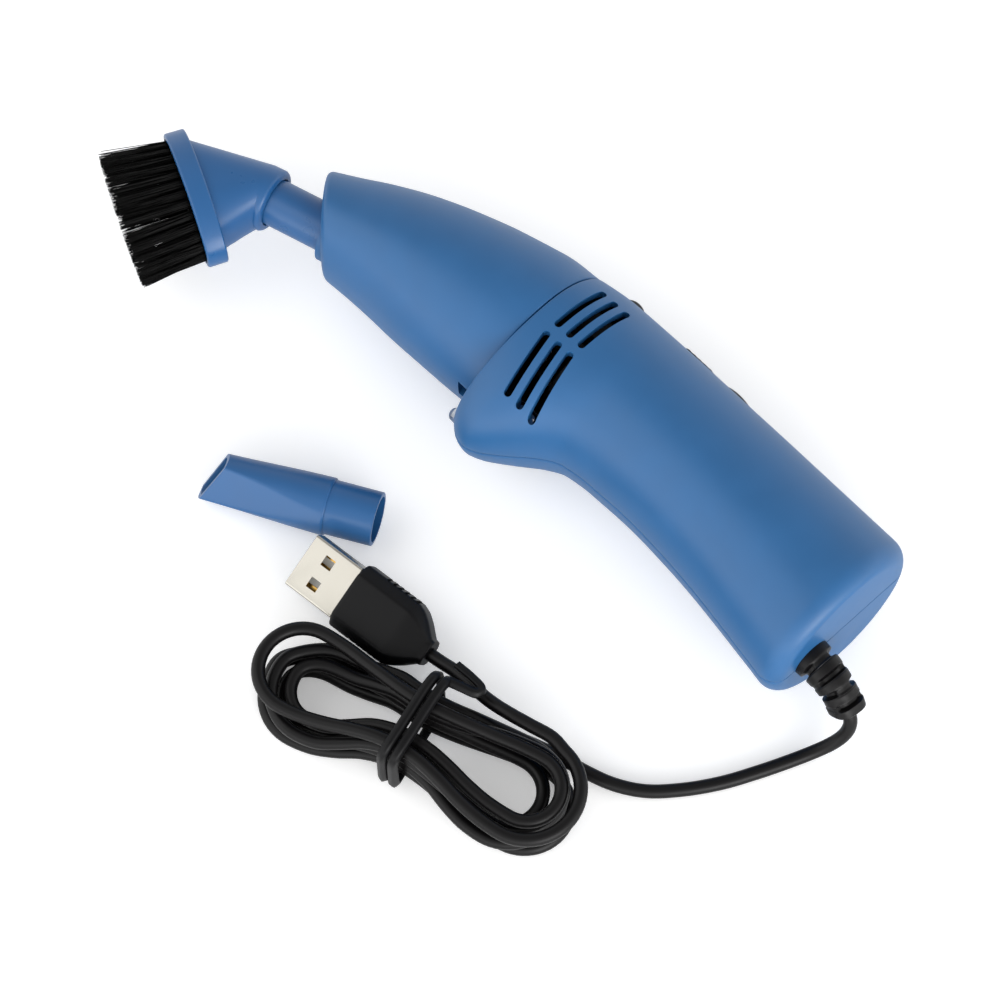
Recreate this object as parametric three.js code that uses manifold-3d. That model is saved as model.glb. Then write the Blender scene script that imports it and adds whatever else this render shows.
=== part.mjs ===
// A hand-held mini vacuum cleaner for keyboards, lying on its side on a table.
// Millimetres. +X runs along the nozzle to the brush, +Y to the finger hump, and z = 0 is the table.
// The origin is the middle of the flat on which the lower handle half rests.
import * as THREE from 'three';
import { mergeVertices } from 'three/addons/utils/BufferGeometryUtils.js';
import Module from 'manifold-3d';

const wasm = await Module();
wasm.setup();
const { Vector3, Matrix4, Shape, Group } = THREE;
const degree = Math.PI / 180;

// Fits and cutting
const overrun = 4;
const touchGap = 0.3;
const partingGap = 0.3;
const ringSides = 24;
const innerSides = 14;
const ventSides = 2;
const smallSides = 12;
const arcSides = 5;

// Handle housing
const handleLength = 84.7;
const handleTop = 18;
const handleBelly = 16;
const handleHalf = 17.7;
const humpRise = 12.8;
const housingWall = 1.8;
const frontWall = 2;
const rearRadius = 4.5;
const rearRadiusSteps = 3;
const restFlatDepth = 0.2;
const handleBend = 17 * degree;
const ribThickness = 1.4;

// Vent slots, counted from the front plane of the handle
const ventCount = 3;
const ventWidth = 1.7;
const ventPitch = 3.3;
const ventFirst = 4.9;
const upperVentStart = -9.9;
const upperVentEnd = 2.2;
const lowerVentStart = 5.6;
const lowerVentEnd = 18.4;
const lowerVentLean = 10 * degree;

// Front cover, its collar on the handle, and the tube sleeve
const coverLength = 53;
const coverTop = 17.55;
const coverBelly = 20.6;
const coverHalf = 17.3;
const coverWall = 1.6;
const coverFrontWall = 2;
const coverEdgeRadius = 1.4;
const coverEdgeSteps = 3;
const coverFrontTilt = -26 * degree;
const collarLength = 6.5;
const collarWall = 1.5;
const collarBellyDraft = 2.2;
const collarTopDraft = 0.2;
const ledgeWidth = 2;
const notchWidth = 3.2;
const notchDepth = 2.2;
const notchOffset = 2;
const sleeveLength = 10.5;
const sleeveWall = 1.3;

// Nozzle tube
const tubeRadius = 5;
const tubeBore = 4;
const tubeRunOut = 12;
const tubeSides = 20;
const tubeInCover = 10.5;
const tubeInBrush = 8.5;

// Brush
const brushTurn = 48 * degree;
const brushReach = 13.9;
const brushRise = 4.6;
const brushSocketRadius = 6.9;
const brushSocketEdge = 0.6;
const brushWall = 1.4;
const brushLong = 13.9;
const brushHigh = 8.2;
const brushCollarRim = 1.2;
const brushCollarDepth = 3.6;
const backingDepth = 2;
const backingLong = 13.2;
const backingHigh = 7.4;
const mouthLong = 9.8;
const mouthHigh = 3.7;
const bristleLength = 14.4;
const bristleSliceTufts = [[-3, 3], [4, 10], [11, 17], [18, 24]];
const bristleRadius = 0.13;
const bristleRoot = 0.6;
const tuftCount = 28;
const tuftStrandCount = 8;
const tuftHalfWidth = 0.62;
const tuftHalfDepth = 0.82;
const bristleFan = 6 * degree;
const sliceReach = 5;

// Filter
const sealDepth = 1;
const frameDepth = 4;
const frameWall = 1.5;
const frameBar = 1.6;
const clothDepth = 10;
const clothInset = 0.7;

// Fan, motor and shaft
const fanPlateThickness = 1.4;
const fanPlateReach = 19.5;
const fanInletRadius = 6.5;
const fanRadius = 12.8;
const fanDepth = 7;
const fanDiscThickness = 1;
const fanHubRadius = 3.2;
const fanBladeCount = 8;
const fanBladeThickness = 0.9;
const fanBladeSweep = 42 * degree;
const fanClearance = 0.8;
const bladeSteps = 3;
const motorRadius = 10;
const motorFlat = 7.5;
const motorLength = 25;
const motorCapLength = 5;
const motorCapInset = 0.4;
const motorFanGap = 1.8;
const bushRadius = 3;
const bushLength = 1.2;
const shaftRadius = 1;
const shaftRearLength = 1.5;
const cradleSpan = 12.2;
const cradleInset = 2.2;

// Circuit board, capacitor and leads
const boardShare = 0.54;
const boardWidth = 14;
const boardThickness = 1.6;
const boardFront = 8;
const shelfInset = 3;
const shelfSpan = 12;
const capacitorRadius = 2.5;
const capacitorHeight = 6;
const capacitorPlaceShare = 0.6;
const leadRadius = 0.6;
const leadSides = 6;
const motorLeadSpread = 4;
const motorLeadBow = 2.4;
const lampLeadChannel = 12.9;
const lampLeadPass = 16.6;
const lampLeadSteps = 20;
const motorLeadSteps = 10;

// Lamp in the finger hump
const lampRadius = 1.5;
const lampRise = 24;
const lampLength = 6;
const lampProud = 1.2;
const lampDomeSteps = 4;

// Slide switch on the top edge
const plateLength = 34.6;
const plateWidth = 8.4;
const plateProud = 0.5;
const plateSink = 0.7;
const plateCentre = 21.9;
const plateBumpLength = 6.2;
const plateBumpWidth = 5.6;
const plateBumpRise = 0.85;
const knobLength = 7.6;
const knobWidth = 5.4;
const knobRise = 0.6;
const knobRibs = 5;
const knobRibDepth = 0.3;
const knobCentre = 24.8;
const knobTravel = 4;
const stemLength = 3;
const stemWidth = 2.4;
const switchBodyLength = 11.4;
const switchBodyWidth = 7;
const switchBodyDepth = 5.6;
const switchBodyTop = 14.8;
const switchSlotDepth = 2;

// Screws and their wells
const humpScrewBack = 11.2;
const middleScrewShare = 0.545;
const rearTopScrewInset = 7.6;
const rearBellyScrewInset = 11.6;
const screwHeadRadius = 2.2;
const screwHeadHeight = 1.6;
const screwCoreRadius = 0.9;
const screwLength = 11;
const screwSeat = 5.4;
const bossRadius = 3.2;
const wellRadius = 2.6;
const pilotRadius = 1.2;
const clearRadius = 1.3;
const bossHeight = 7.4;
const crossSlotWidth = 0.6;
const crossSlotDepth = 0.8;
const crossSlotShare = 0.6;

// Strain relief
const reliefRise = 10.2;
const reliefLength = 14;
const reliefRadius = 4.2;
const reliefTipRadius = 3.3;
const reliefRibs = 5;
const reliefGroove = 0.85;
const reliefNeckRadius = 3.2;
const reliefFlangeRadius = 4.6;
const reliefFlangeThickness = 1.4;
const reliefDrop = 5.2;
const reliefStraightShare = 0.52;
const reliefReachShare = 0.8;
const reliefTipOffset = 0.825;
const reliefSides = 12;

// Cord
const cordRadius = 1.4;
const cordSides = 8;
const cordSteps = 25;
const cordRoute = [
  [-48.46, 26.39, 12.02], [-49.21, 26.81, 10.91], [-49.75, 27.35, 9.45], [-49.85, 28.1, 7.7], [-49.4, 29.15, 5.9],
  [-48.3, 30.6, 4.2], [-46.6, 32.5, 2.8], [-44.4, 35, 1.9], [-41.6, 38.3, 1.5], [-38, 42.5, 1.4],
  [-33, 47.9, 1.4], [-27, 53, 1.4], [-21, 56.8, 1.4], [-15, 58.7, 1.4], [-9, 59.2, 1.4],
  [-3.3, 59.08, 1.4],
];

// Hank
const hankPlace = [22.9, 71];
const hankHalfLength = 36;
const hankOuterRadius = 11;
const hankPitch = 3.7;
const hankLayerStep = 3.3;
const hankLayers = 4;
const hankTurnsPerLayer = 1.5;
const hankPull = 3.6;
const hankMakeWay = 2;
const makeWayReach = 6;
const makeWayStart = 5;
const makeWayEnd = 20;
const hankLift = 3.1;
const hankSides = 5;
const runSteps = 6;
const foldSteps = 7;
const hankTail = [
  [-1.4, 59.6, 11.3], [3.5, 59.5, 11.3], [8, 59.4, 11.2], [12.5, 58.9, 10.6], [16.5, 57.7, 9.8],
  [20, 56.2, 8.8], [23.2, 55, 7.9], [25.6, 54.5, 7.2], [27.8, 54.2, 6.9],
];

// Wire tie round the hank
const tieRadius = 1.1;
const tieSides = 6;
const tieSteps = 40;
const tieHalfWidth = 10.1;
const tieShift = -0.3;
const tieTurns = 1.62;
const tieEndTurn = 0.4;
const tieAdvance = 5.6;
const tieSquareness = 6;
const tiePoints = 30;
const tieTail = [[17.7, 60.9, 16.2], [15.1, 60.4, 15.7], [14.7, 59, 15.2], [17.3, 57.9, 14.9], [21.5, 56.9, 14.6]];

// Plug
const plugPlace = [49.2, 51.7, 6.8];
const plugRoll = -26 * degree;
const plugYaw = -9 * degree;
const plugShellLength = 12;
const plugShellWidth = 12;
const plugShellHeight = 4.5;
const plugShellWall = 0.3;
const plugWindow = 2.4;
const plugWindowPitch = 5.2;
const plugWindowPlace = 6.8;
const plugTongueWidth = 11;
const plugTongueThickness = 1.9;
const plugTongueSetback = 0.6;
const plugBackWall = 0.5;
const plugContactCount = 4;
const plugContactPitch = 2.4;
const plugContactWidth = 1;
const plugContactThickness = 0.25;
const plugContactGap = 0.1;
const plugContactLength = 7.6;
const gripLength = 20.5;
const gripWidth = 14.4;
const gripHeight = 8.4;
const gripChamfer = 2.5;
const gripTail = 5.6;
const gripTailShare = 0.42;
const gripRibs = 6;
const gripRibPitch = 1.5;
const gripRibWidth = 0.7;
const gripRibDepth = 0.5;
const gripRibStart = 5;

// Crevice nozzle lying beside the cleaner
const crevicePlace = [53.1, 34.6];
const creviceYaw = 14 * degree;
const creviceRoll = -53 * degree;
const creviceLength = 37.4;
const creviceRadius = 6;
const creviceSpigotRadius = 5.15;
const creviceSpigotLength = 10;
const creviceWall = 0.9;
const creviceTipLong = 5.1;
const creviceTipThin = 2.6;
const creviceCutAcross = 27 * degree;
const creviceCutThin = 20 * degree;

// Rows of the handle outline: along, top, belly, hump, half thickness
const handleStationShares = [
  [0, 0.9, 1, 0.8, 0.975], [0.035, 0.933, 1, 0.96, 0.975],
  [0.064, 0.956, 1, 1, 0.98], [0.098, 0.972, 1, 0.92, 0.985], [0.133, 0.978, 1, 0.75, 0.995],
  [0.168, 0.983, 1, 0.55, 1], [0.214, 0.989, 1, 0.28, 1], [0.26, 0.994, 1, 0.1, 1],
  [0.341, 1, 1, 0.02, 1], [0.462, 1, 0.99, 0, 1], [0.601, 1.005, 1.025, 0, 1],
  [0.901, 1.005, 1.23, 0, 1], [1, 1.005, 1.32, 0, 1],
];
const rearHalfShare = 0.6;

// Rows of the cover outline: along, turn of the section from rear to front tilt, top, belly, half thickness
const coverStationShares = [
  [0, 0, 0.917, 1, 0.99], [0.151, 0.151, 1, 0.917, 1], [0.302, 0.302, 1, 0.833, 0.994],
  [0.453, 0.453, 0.977, 0.752, 0.971], [0.604, 0.604, 0.929, 0.675, 0.925],
  [0.755, 0.755, 0.84, 0.585, 0.855], [0.868, 0.868, 0.752, 0.529, 0.786], [1, 1, 0.66, 0.473, 0.72],
];

// Rows of the brush head: reach, rise, turn, spread from socket to collar
const brushStationShares = [
  [0.058, 0, 0, 0], [0.2, 0.04, 0.29, 0.04], [0.446, 0.35, 0.69, 0.343], [0.734, 0.7, 0.875, 0.686], [1, 1, 1, 1],
];

// Rows of the crevice nozzle past its spigot: along, blend from round to tip
const creviceStationShares = [[0.28, 0], [0.38, 0], [0.52, 0.25], [0.66, 0.58], [0.82, 0.85], [1, 1]];

// Rows of the filter cloth's dome: rise and inset
const clothDomeShares = [[0, 0], [0.4, 0.06], [0.72, 0.2], [0.92, 0.42], [1, 0.7]];
const clothInsetReach = 12;

// Screw places: name, distance behind the front plane, distance from the axis, height of the housing's underside
const screwPlaces = [
  { name: 'screw_hump', back: humpScrewBack, rise: 22.4, lift: 8 },
  { name: 'screw_middle', back: handleLength * middleScrewShare, rise: -11.8, lift: 4 },
  { name: 'screw_rear_top', back: handleLength - rearTopScrewInset, rise: -9.5, lift: 2.5 },
  { name: 'screw_rear_belly', back: handleLength - rearBellyScrewInset, rise: 10, lift: 2.5 },
];

// Values that follow from the sizes above
const frontX = handleLength / 2;
const rearX = frontX - handleLength;
const axisHeight = handleHalf - restFlatDepth;
const fanPlateFront = frontX - frontWall - touchGap;
const fanFront = fanPlateFront - fanPlateThickness - fanClearance;
const fanBack = fanFront - fanDepth;
const motorFront = fanBack - motorFanGap;
const motorBack = motorFront - motorLength;
const brushMouth = coverLength + tubeRunOut;
const boardEnd = motorBack - motorCapLength - boardFront;
const boardLength = (boardEnd - rearX) * boardShare;
const lampFront = frontX + lampProud;

// Finishes
function finish(color, roughness, metalness = 0) {
  return new THREE.MeshStandardMaterial({ color, roughness, metalness });
}
const bluePlastic = finish(0x3e6ba4, 0.5);
const glossBluePlastic = finish(0x4b78af, 0.35);
const blackPlastic = finish(0x1b1b1e, 0.5);
const blackRubber = finish(0x17171a, 0.65);
const bristleNylon = finish(0x101012, 0.5);
const darkGrommet = finish(0x1a1a1d, 0.6);
const clearLens = finish(0xdfe6ea, 0.12);
const steel = finish(0xb9bdc2, 0.3, 1);
const nickel = finish(0xd9d6cc, 0.22, 1);
const brass = finish(0xc6a45a, 0.3, 1);
const whitePlastic = finish(0xe4e4e0, 0.5);
const greyCloth = finish(0x9aa0a6, 0.9);
const greenBoard = finish(0x2f6b45, 0.5);
const redWire = finish(0xb0262a, 0.5);

// Geometry helpers
function signedVolume(position, index) {
  const [a, b, c] = [new Vector3(), new Vector3(), new Vector3()];
  let sum = 0;
  for (let i = 0; i < index.length; i += 3) {
    a.fromBufferAttribute(position, index[i]);
    b.fromBufferAttribute(position, index[i + 1]);
    c.fromBufferAttribute(position, index[i + 2]);
    sum += a.dot(b.cross(c));
  }
  return sum;
}

function solidOf(geometry) {
  const bare = geometry.clone();
  bare.deleteAttribute('normal');
  bare.deleteAttribute('uv');
  const merged = mergeVertices(bare);
  const index = merged.index.array;
  const kept = [];
  for (let i = 0; i < index.length; i += 3) {
    const [a, b, c] = [index[i], index[i + 1], index[i + 2]];
    if (a !== b && b !== c && a !== c) {
      kept.push(a, b, c);
    }
  }
  const position = merged.getAttribute('position');
  if (signedVolume(position, kept) < 0) {
    kept.reverse();
  }
  const vertProperties = Float32Array.from(position.array);
  return new wasm.Manifold(new wasm.Mesh({ numProp: 3, vertProperties, triVerts: Uint32Array.from(kept) }));
}

function loft(rings) {
  const count = rings[0].length;
  const points = rings.flat();
  const index = [];
  for (let r = 0; r + 1 < rings.length; r += 1) {
    for (let k = 0; k < count; k += 1) {
      const next = (k + 1) % count;
      const [a, b, c, d] = [r * count + k, r * count + next, (r + 1) * count + next, (r + 1) * count + k];
      index.push(a, b, c, a, c, d);
    }
  }
  const last = (rings.length - 1) * count;
  for (const [base, flip] of [[0, true], [last, false]]) {
    const centre = new Vector3();
    for (let k = 0; k < count; k += 1) {
      centre.addScaledVector(points[base + k], 1 / count);
    }
    const hub = points.push(centre) - 1;
    for (let k = 0; k < count; k += 1) {
      const next = (k + 1) % count;
      index.push(hub, base + (flip ? next : k), base + (flip ? k : next));
    }
  }
  const geometry = new THREE.BufferGeometry().setFromPoints(points);
  geometry.setIndex(index);
  return geometry;
}

const loftSolid = (rings) => solidOf(loft(rings));

function box(x0, x1, y0, y1, z0, z1) {
  const geometry = new THREE.BoxGeometry(x1 - x0, y1 - y0, z1 - z0);
  geometry.translate((x0 + x1) / 2, (y0 + y1) / 2, (z0 + z1) / 2);
  return solidOf(geometry);
}

function rodX(radius, x0, x1, y, z, sides = tubeSides) {
  const geometry = new THREE.CylinderGeometry(radius, radius, x1 - x0, sides);
  geometry.rotateZ(-Math.PI / 2);
  geometry.translate((x0 + x1) / 2, y, z);
  return solidOf(geometry);
}

function rodZ(radius, x, y, z0, z1, sides = tubeSides) {
  const geometry = new THREE.CylinderGeometry(radius, radius, z1 - z0, sides);
  geometry.rotateX(Math.PI / 2);
  geometry.translate(x, y, (z0 + z1) / 2);
  return solidOf(geometry);
}

function extrudeX(shape, x0, x1) {
  const geometry = new THREE.ExtrudeGeometry(shape, { depth: x1 - x0, bevelEnabled: false, curveSegments: arcSides });
  geometry.applyMatrix4(new Matrix4().set(0, 0, 1, x0, 1, 0, 0, 0, 0, 1, 0, 0, 0, 0, 0, 1));
  return solidOf(geometry);
}

function capsule(ax, ay, bx, by, width) {
  const turn = Math.atan2(by - ay, bx - ax);
  const shape = new Shape();
  shape.absarc(bx, by, width / 2, turn - Math.PI / 2, turn + Math.PI / 2, false);
  shape.absarc(ax, ay, width / 2, turn + Math.PI / 2, turn + Math.PI * 1.5, false);
  shape.closePath();
  return shape;
}

function polygon(radius, sides) {
  const shape = new Shape();
  for (let k = 0; k < sides; k += 1) {
    const angle = (2 * Math.PI * (k + 0.5)) / sides;
    const draw = k === 0 ? 'moveTo' : 'lineTo';
    shape[draw](radius * Math.cos(angle), radius * Math.sin(angle));
  }
  shape.closePath();
  return shape;
}

function tubeAlong(points, radius, sides, steps) {
  const path = new THREE.CatmullRomCurve3(points, false, 'centripetal');
  const settings = { steps, bevelEnabled: false, extrudePath: path };
  return solidOf(new THREE.ExtrudeGeometry(polygon(radius, sides), settings));
}

function union(solids) {
  return solids.reduce((whole, solid) => whole.add(solid));
}

function subtractAll(solid, cutters) {
  return cutters.reduce((rest, cutter) => rest.subtract(cutter), solid);
}

function meshOf(name, solid, material) {
  const source = solid.getMesh();
  const geometry = new THREE.BufferGeometry();
  geometry.setAttribute('position', new THREE.BufferAttribute(source.vertProperties, 3));
  geometry.setIndex(new THREE.BufferAttribute(source.triVerts, 1));
  geometry.computeVertexNormals();
  const mesh = new THREE.Mesh(geometry, material);
  mesh.name = name;
  return mesh;
}

// A table of shares as sizes, with straight lines between its rows
function profile(shares, sizes) {
  const rows = shares.map((row) => row.map((share, column) => share * sizes[column]));
  const stops = rows.map((row) => row[0]);
  function at(along) {
    const next = stops.findIndex((stop) => stop > along);
    if (next === 0) {
      return rows[0].slice(1);
    }
    if (next < 0) {
      return rows[rows.length - 1].slice(1);
    }
    const blend = (along - stops[next - 1]) / (stops[next] - stops[next - 1]);
    return rows[next].slice(1).map((value, i) => THREE.MathUtils.lerp(rows[next - 1][i + 1], value, blend));
  }
  return { stops, at };
}

// Stations of an offset skin from start to end, with a rounded end
function stations(stops, start, end, radius, steps) {
  const list = [{ along: start, shrink: 0 }];
  for (const stop of stops) {
    if (stop > start && stop < end - radius) {
      list.push({ along: stop, shrink: 0 });
    }
  }
  for (let k = radius > 0 ? 0 : steps; k <= steps; k += 1) {
    const angle = (k / steps) * (Math.PI / 2);
    list.push({ along: end - radius + radius * Math.sin(angle), shrink: radius * (1 - Math.cos(angle)) });
  }
  return list;
}

// A ring with its own reach to the top, to the belly and to each side, in a plane that holds +Z
function eggRing(centre, across, top, belly, half, sides = ringSides) {
  const ring = [];
  for (let k = 0; k < sides; k += 1) {
    const angle = (2 * Math.PI * k) / sides;
    const reach = Math.cos(angle) * (Math.cos(angle) > 0 ? belly : top);
    const point = centre.clone().addScaledVector(across, reach);
    point.z += half * Math.sin(angle);
    ring.push(point);
  }
  return ring;
}

// Handle skins
const handleSizes = [handleLength, handleTop, handleBelly, humpRise, handleHalf];
const handleProfile = profile(handleStationShares, handleSizes);

function handleSection(along) {
  const [top, belly, hump, half] = handleProfile.at(along);
  return { top, belly: belly + hump, half };
}

function handleSkin(inset, start = 0, sides = ringSides) {
  const rear = rearRadius - inset;
  const list = stations(handleProfile.stops, start, handleLength - inset, rear, rearRadiusSteps);
  return loftSolid(list.map(({ along, shrink }) => {
    const { top, belly, half } = handleSection(along);
    const less = inset + shrink;
    const centre = new Vector3(frontX - along, 0, axisHeight);
    const halfHeight = half - inset - shrink * rearHalfShare;
    return eggRing(centre, new Vector3(0, 1, 0), top - less, belly - less, halfHeight, sides);
  }));
}

// Cover skins, in the nozzle's frame
const coverTurn = coverFrontTilt - handleBend;
const coverSizes = [coverLength, coverTurn, coverTop, coverBelly, coverHalf];
const coverProfile = profile(coverStationShares, coverSizes);

function coverRing(along, less, shift = 0, draft = [0, 0], sides = ringSides) {
  const [turn, top, belly, half] = coverProfile.at(along);
  const tilt = handleBend + turn;
  const across = new Vector3(Math.sin(tilt), Math.cos(tilt), 0);
  const centre = new Vector3(along + shift, 0, axisHeight);
  const [topLess, bellyLess] = draft.map((value) => value + less);
  return eggRing(centre, across, top - topLess, belly - bellyLess, half - topLess, sides);
}

function coverSkin(inset, start, end, radius, sides = ringSides) {
  const list = stations(coverProfile.stops, start, end, radius, coverEdgeSteps);
  return loftSolid(list.map(({ along, shrink }) => coverRing(along, inset + shrink, 0, [0, 0], sides)));
}

// A prism along the nozzle from the cover's rear rim, shrunk by an inset, with draft at its far end
function rimPrism(inset, from, to, draft = [0, 0]) {
  return loftSolid([coverRing(0, inset, from), coverRing(0, inset, to, draft)]);
}

const nozzleToHandle = new Matrix4().makeRotationZ(handleBend).setPosition(frontX, 0, 0);
const inHandle = (solid) => solid.transform(nozzleToHandle.elements);
const collarInset = coverWall + touchGap;
const boreInset = collarInset + collarWall;
const collarDraft = [collarTopDraft, collarBellyDraft];

// Cutters and fittings shared by both handle halves
function ventCutters() {
  const lean = Math.tan(lowerVentLean) * (lowerVentEnd - lowerVentStart);
  const cutters = [];
  for (let k = 0; k < ventCount; k += 1) {
    const x = frontX - ventFirst - k * ventPitch;
    const slots = [[x, upperVentStart, x, upperVentEnd], [x, lowerVentStart, x - lean, lowerVentEnd]];
    for (const [ax, ay, bx, by] of slots) {
      const geometry = new THREE.ExtrudeGeometry(capsule(ax, ay, bx, by, ventWidth), {
        depth: 2 * (axisHeight + overrun), bevelEnabled: false, curveSegments: ventSides,
      });
      geometry.translate(0, 0, -overrun);
      cutters.push(solidOf(geometry));
    }
  }
  return cutters;
}

function motorSolid(grow, x0, x1) {
  const radius = motorRadius + grow;
  const flat = motorFlat + grow;
  const corner = Math.asin(flat / radius);
  const shape = new Shape();
  shape.absarc(0, axisHeight, radius, Math.PI / 2 - corner, Math.PI / 2 + corner, false);
  shape.absarc(0, axisHeight, radius, -Math.PI / 2 - corner, -Math.PI / 2 + corner, false);
  shape.closePath();
  return extrudeX(shape, x0, x1);
}

function motorCradles() {
  const inner = handleSkin(housingWall / 2, 0, innerSides);
  const places = [motorFront - cradleInset, motorBack + cradleInset];
  const clearance = motorSolid(touchGap, motorBack - overrun, motorFront + overrun);
  return places.map((x) => {
    const slab = box(x - ribThickness, x, -handleTop, cradleSpan, 0, 2 * axisHeight);
    return slab.intersect(inner).subtract(clearance);
  });
}

function boardShelves() {
  const inner = handleSkin(housingWall / 2, 0, innerSides);
  const top = axisHeight - boardThickness / 2 - touchGap;
  return [boardEnd - shelfInset, boardEnd - boardLength + shelfInset].map((x) => {
    const slab = box(x - ribThickness / 2, x + ribThickness / 2, -shelfSpan / 2, shelfSpan / 2, 0, top);
    return slab.intersect(inner);
  });
}

function screwAxis(place) {
  return [frontX - place.back, place.rise];
}

function switchCapsule(grow) {
  const x = frontX - plateCentre;
  const reach = (plateLength - plateWidth) / 2;
  const shape = capsule(x - reach, axisHeight, x + reach, axisHeight, plateWidth + 2 * grow);
  const settings = { depth: handleTop, bevelEnabled: false, curveSegments: arcSides };
  const geometry = new THREE.ExtrudeGeometry(shape, settings);
  geometry.applyMatrix4(new Matrix4().set(1, 0, 0, 0, 0, 0, 1, -handleTop - overrun, 0, 1, 0, 0, 0, 0, 0, 1));
  return solidOf(geometry);
}

function knobSlot(grow) {
  const x = frontX - knobCentre;
  const half = stemLength / 2 + grow;
  const side = stemWidth / 2 + grow;
  return box(x - half, x + knobTravel + half, -handleTop - overrun, -handleTop / 2, axisHeight - side, axisHeight + side);
}

// Handle halves
function handleShell(outer) {
  const cavity = handleSkin(housingWall, frontWall, innerSides);
  const collar = inHandle(rimPrism(collarInset, -frontWall / 2, collarLength, collarDraft));
  const ribs = [...motorCradles(), ...boardShelves()];
  const bosses = screwPlaces.map((place) => {
    const [x, y] = screwAxis(place);
    return rodZ(bossRadius, x, y, -overrun, 2 * axisHeight + overrun, smallSides).intersect(outer);
  });
  const lampHole = rodX(lampRadius + touchGap, frontX - frontWall - overrun, frontX + overrun, lampRise, axisHeight);
  const reliefHole = rodX(reliefNeckRadius + touchGap, rearX - overrun, rearX + housingWall + overrun, reliefRise,
    axisHeight);
  const recess = switchCapsule(touchGap).subtract(handleSkin(plateSink + touchGap));
  const bore = inHandle(rimPrism(boreInset, touchGap / 2, collarLength + overrun, [0, 0]));
  const opening = inHandle(rimPrism(boreInset + ledgeWidth, -frontWall - overrun, overrun));
  const shell = union([outer.subtract(cavity), collar, ...ribs, ...bosses]);
  return subtractAll(shell, [bore, opening, lampHole, reliefHole, recess, knobSlot(2 * touchGap), ...ventCutters()]);
}

function splitHandle() {
  const outer = handleSkin(0);
  const shell = handleShell(outer);
  const reach = handleLength + coverLength;
  const parting = axisHeight;
  const above = box(-reach, reach, -reach, reach, parting + partingGap / 2, reach);
  const below = box(-reach, reach, -reach, reach, 0, parting - partingGap / 2);
  let upper = shell.intersect(above);
  let lower = shell.intersect(below);
  for (const place of screwPlaces) {
    const [x, y] = screwAxis(place);
    const seat = place.lift + screwSeat - screwHeadHeight;
    const bossTop = parting + bossHeight;
    lower = lower.subtract(rodZ(wellRadius, x, y, -overrun, seat, smallSides));
    lower = lower.subtract(rodZ(clearRadius, x, y, 0, parting + overrun, smallSides));
    upper = upper.subtract(rodZ(pilotRadius, x, y, parting - overrun, bossTop - housingWall, smallSides));
  }
  return { upper, lower };
}

// Front cover with its sleeve, bore and notch
function frontCover() {
  const outer = coverSkin(0, touchGap, coverLength, coverEdgeRadius);
  const cavity = coverSkin(coverWall, -overrun, coverLength - coverFrontWall, 0);
  const boreRadius = tubeRadius + touchGap;
  const sleeveStart = coverLength - sleeveLength;
  const sleeve = rodX(boreRadius + sleeveWall, sleeveStart, coverLength, 0, axisHeight).intersect(outer);
  const bore = rodX(boreRadius, sleeveStart - overrun, coverLength + 2 * overrun, 0, axisHeight);
  const rimX = Math.sin(handleBend) * coverBelly;
  const notch = new THREE.CylinderGeometry(notchDepth, notchDepth, notchWidth * 3, 4);
  notch.scale(1, 1, notchWidth / notchDepth / 2);
  notch.translate(rimX, coverBelly * Math.cos(handleBend), axisHeight + notchOffset);
  const shell = outer.subtract(cavity).add(sleeve);
  return subtractAll(shell, [bore, solidOf(notch)]);
}

function nozzleTube() {
  const start = coverLength - tubeInCover;
  const end = brushMouth + tubeInBrush;
  const outer = rodX(tubeRadius, start, end, 0, axisHeight);
  return outer.subtract(rodX(tubeBore, start - overrun, end + overrun, 0, axisHeight));
}

// Brush head: a loft from the round socket to the oval collar
const brushAxis = new Vector3(Math.cos(brushTurn), Math.sin(brushTurn), 0);
const brushAcross = new Vector3(-Math.sin(brushTurn), Math.cos(brushTurn), 0);
const collarBack = new Vector3(brushMouth + brushReach, brushRise, axisHeight);

function brushRing([reach, rise, turn, spread], inset, sides = ringSides) {
  const tilt = brushTurn * turn;
  const across = new Vector3(-Math.sin(tilt), Math.cos(tilt), 0);
  const centre = new Vector3(brushMouth + brushReach * reach, brushRise * rise, axisHeight);
  const long = THREE.MathUtils.lerp(brushSocketRadius, brushLong, spread) - inset;
  const high = THREE.MathUtils.lerp(brushSocketRadius, brushHigh, spread) - inset;
  return eggRing(centre, across, long, long, high, sides);
}

function ovalRing(depth, long, high, sides = ringSides) {
  const centre = collarBack.clone().addScaledVector(brushAxis, depth);
  return eggRing(centre, brushAcross, long, long, high, sides);
}

function ovalPrism(depth0, depth1, long, high, sides = ringSides) {
  return loftSolid([ovalRing(depth0, long, high, sides), ovalRing(depth1, long, high, sides)]);
}

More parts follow.
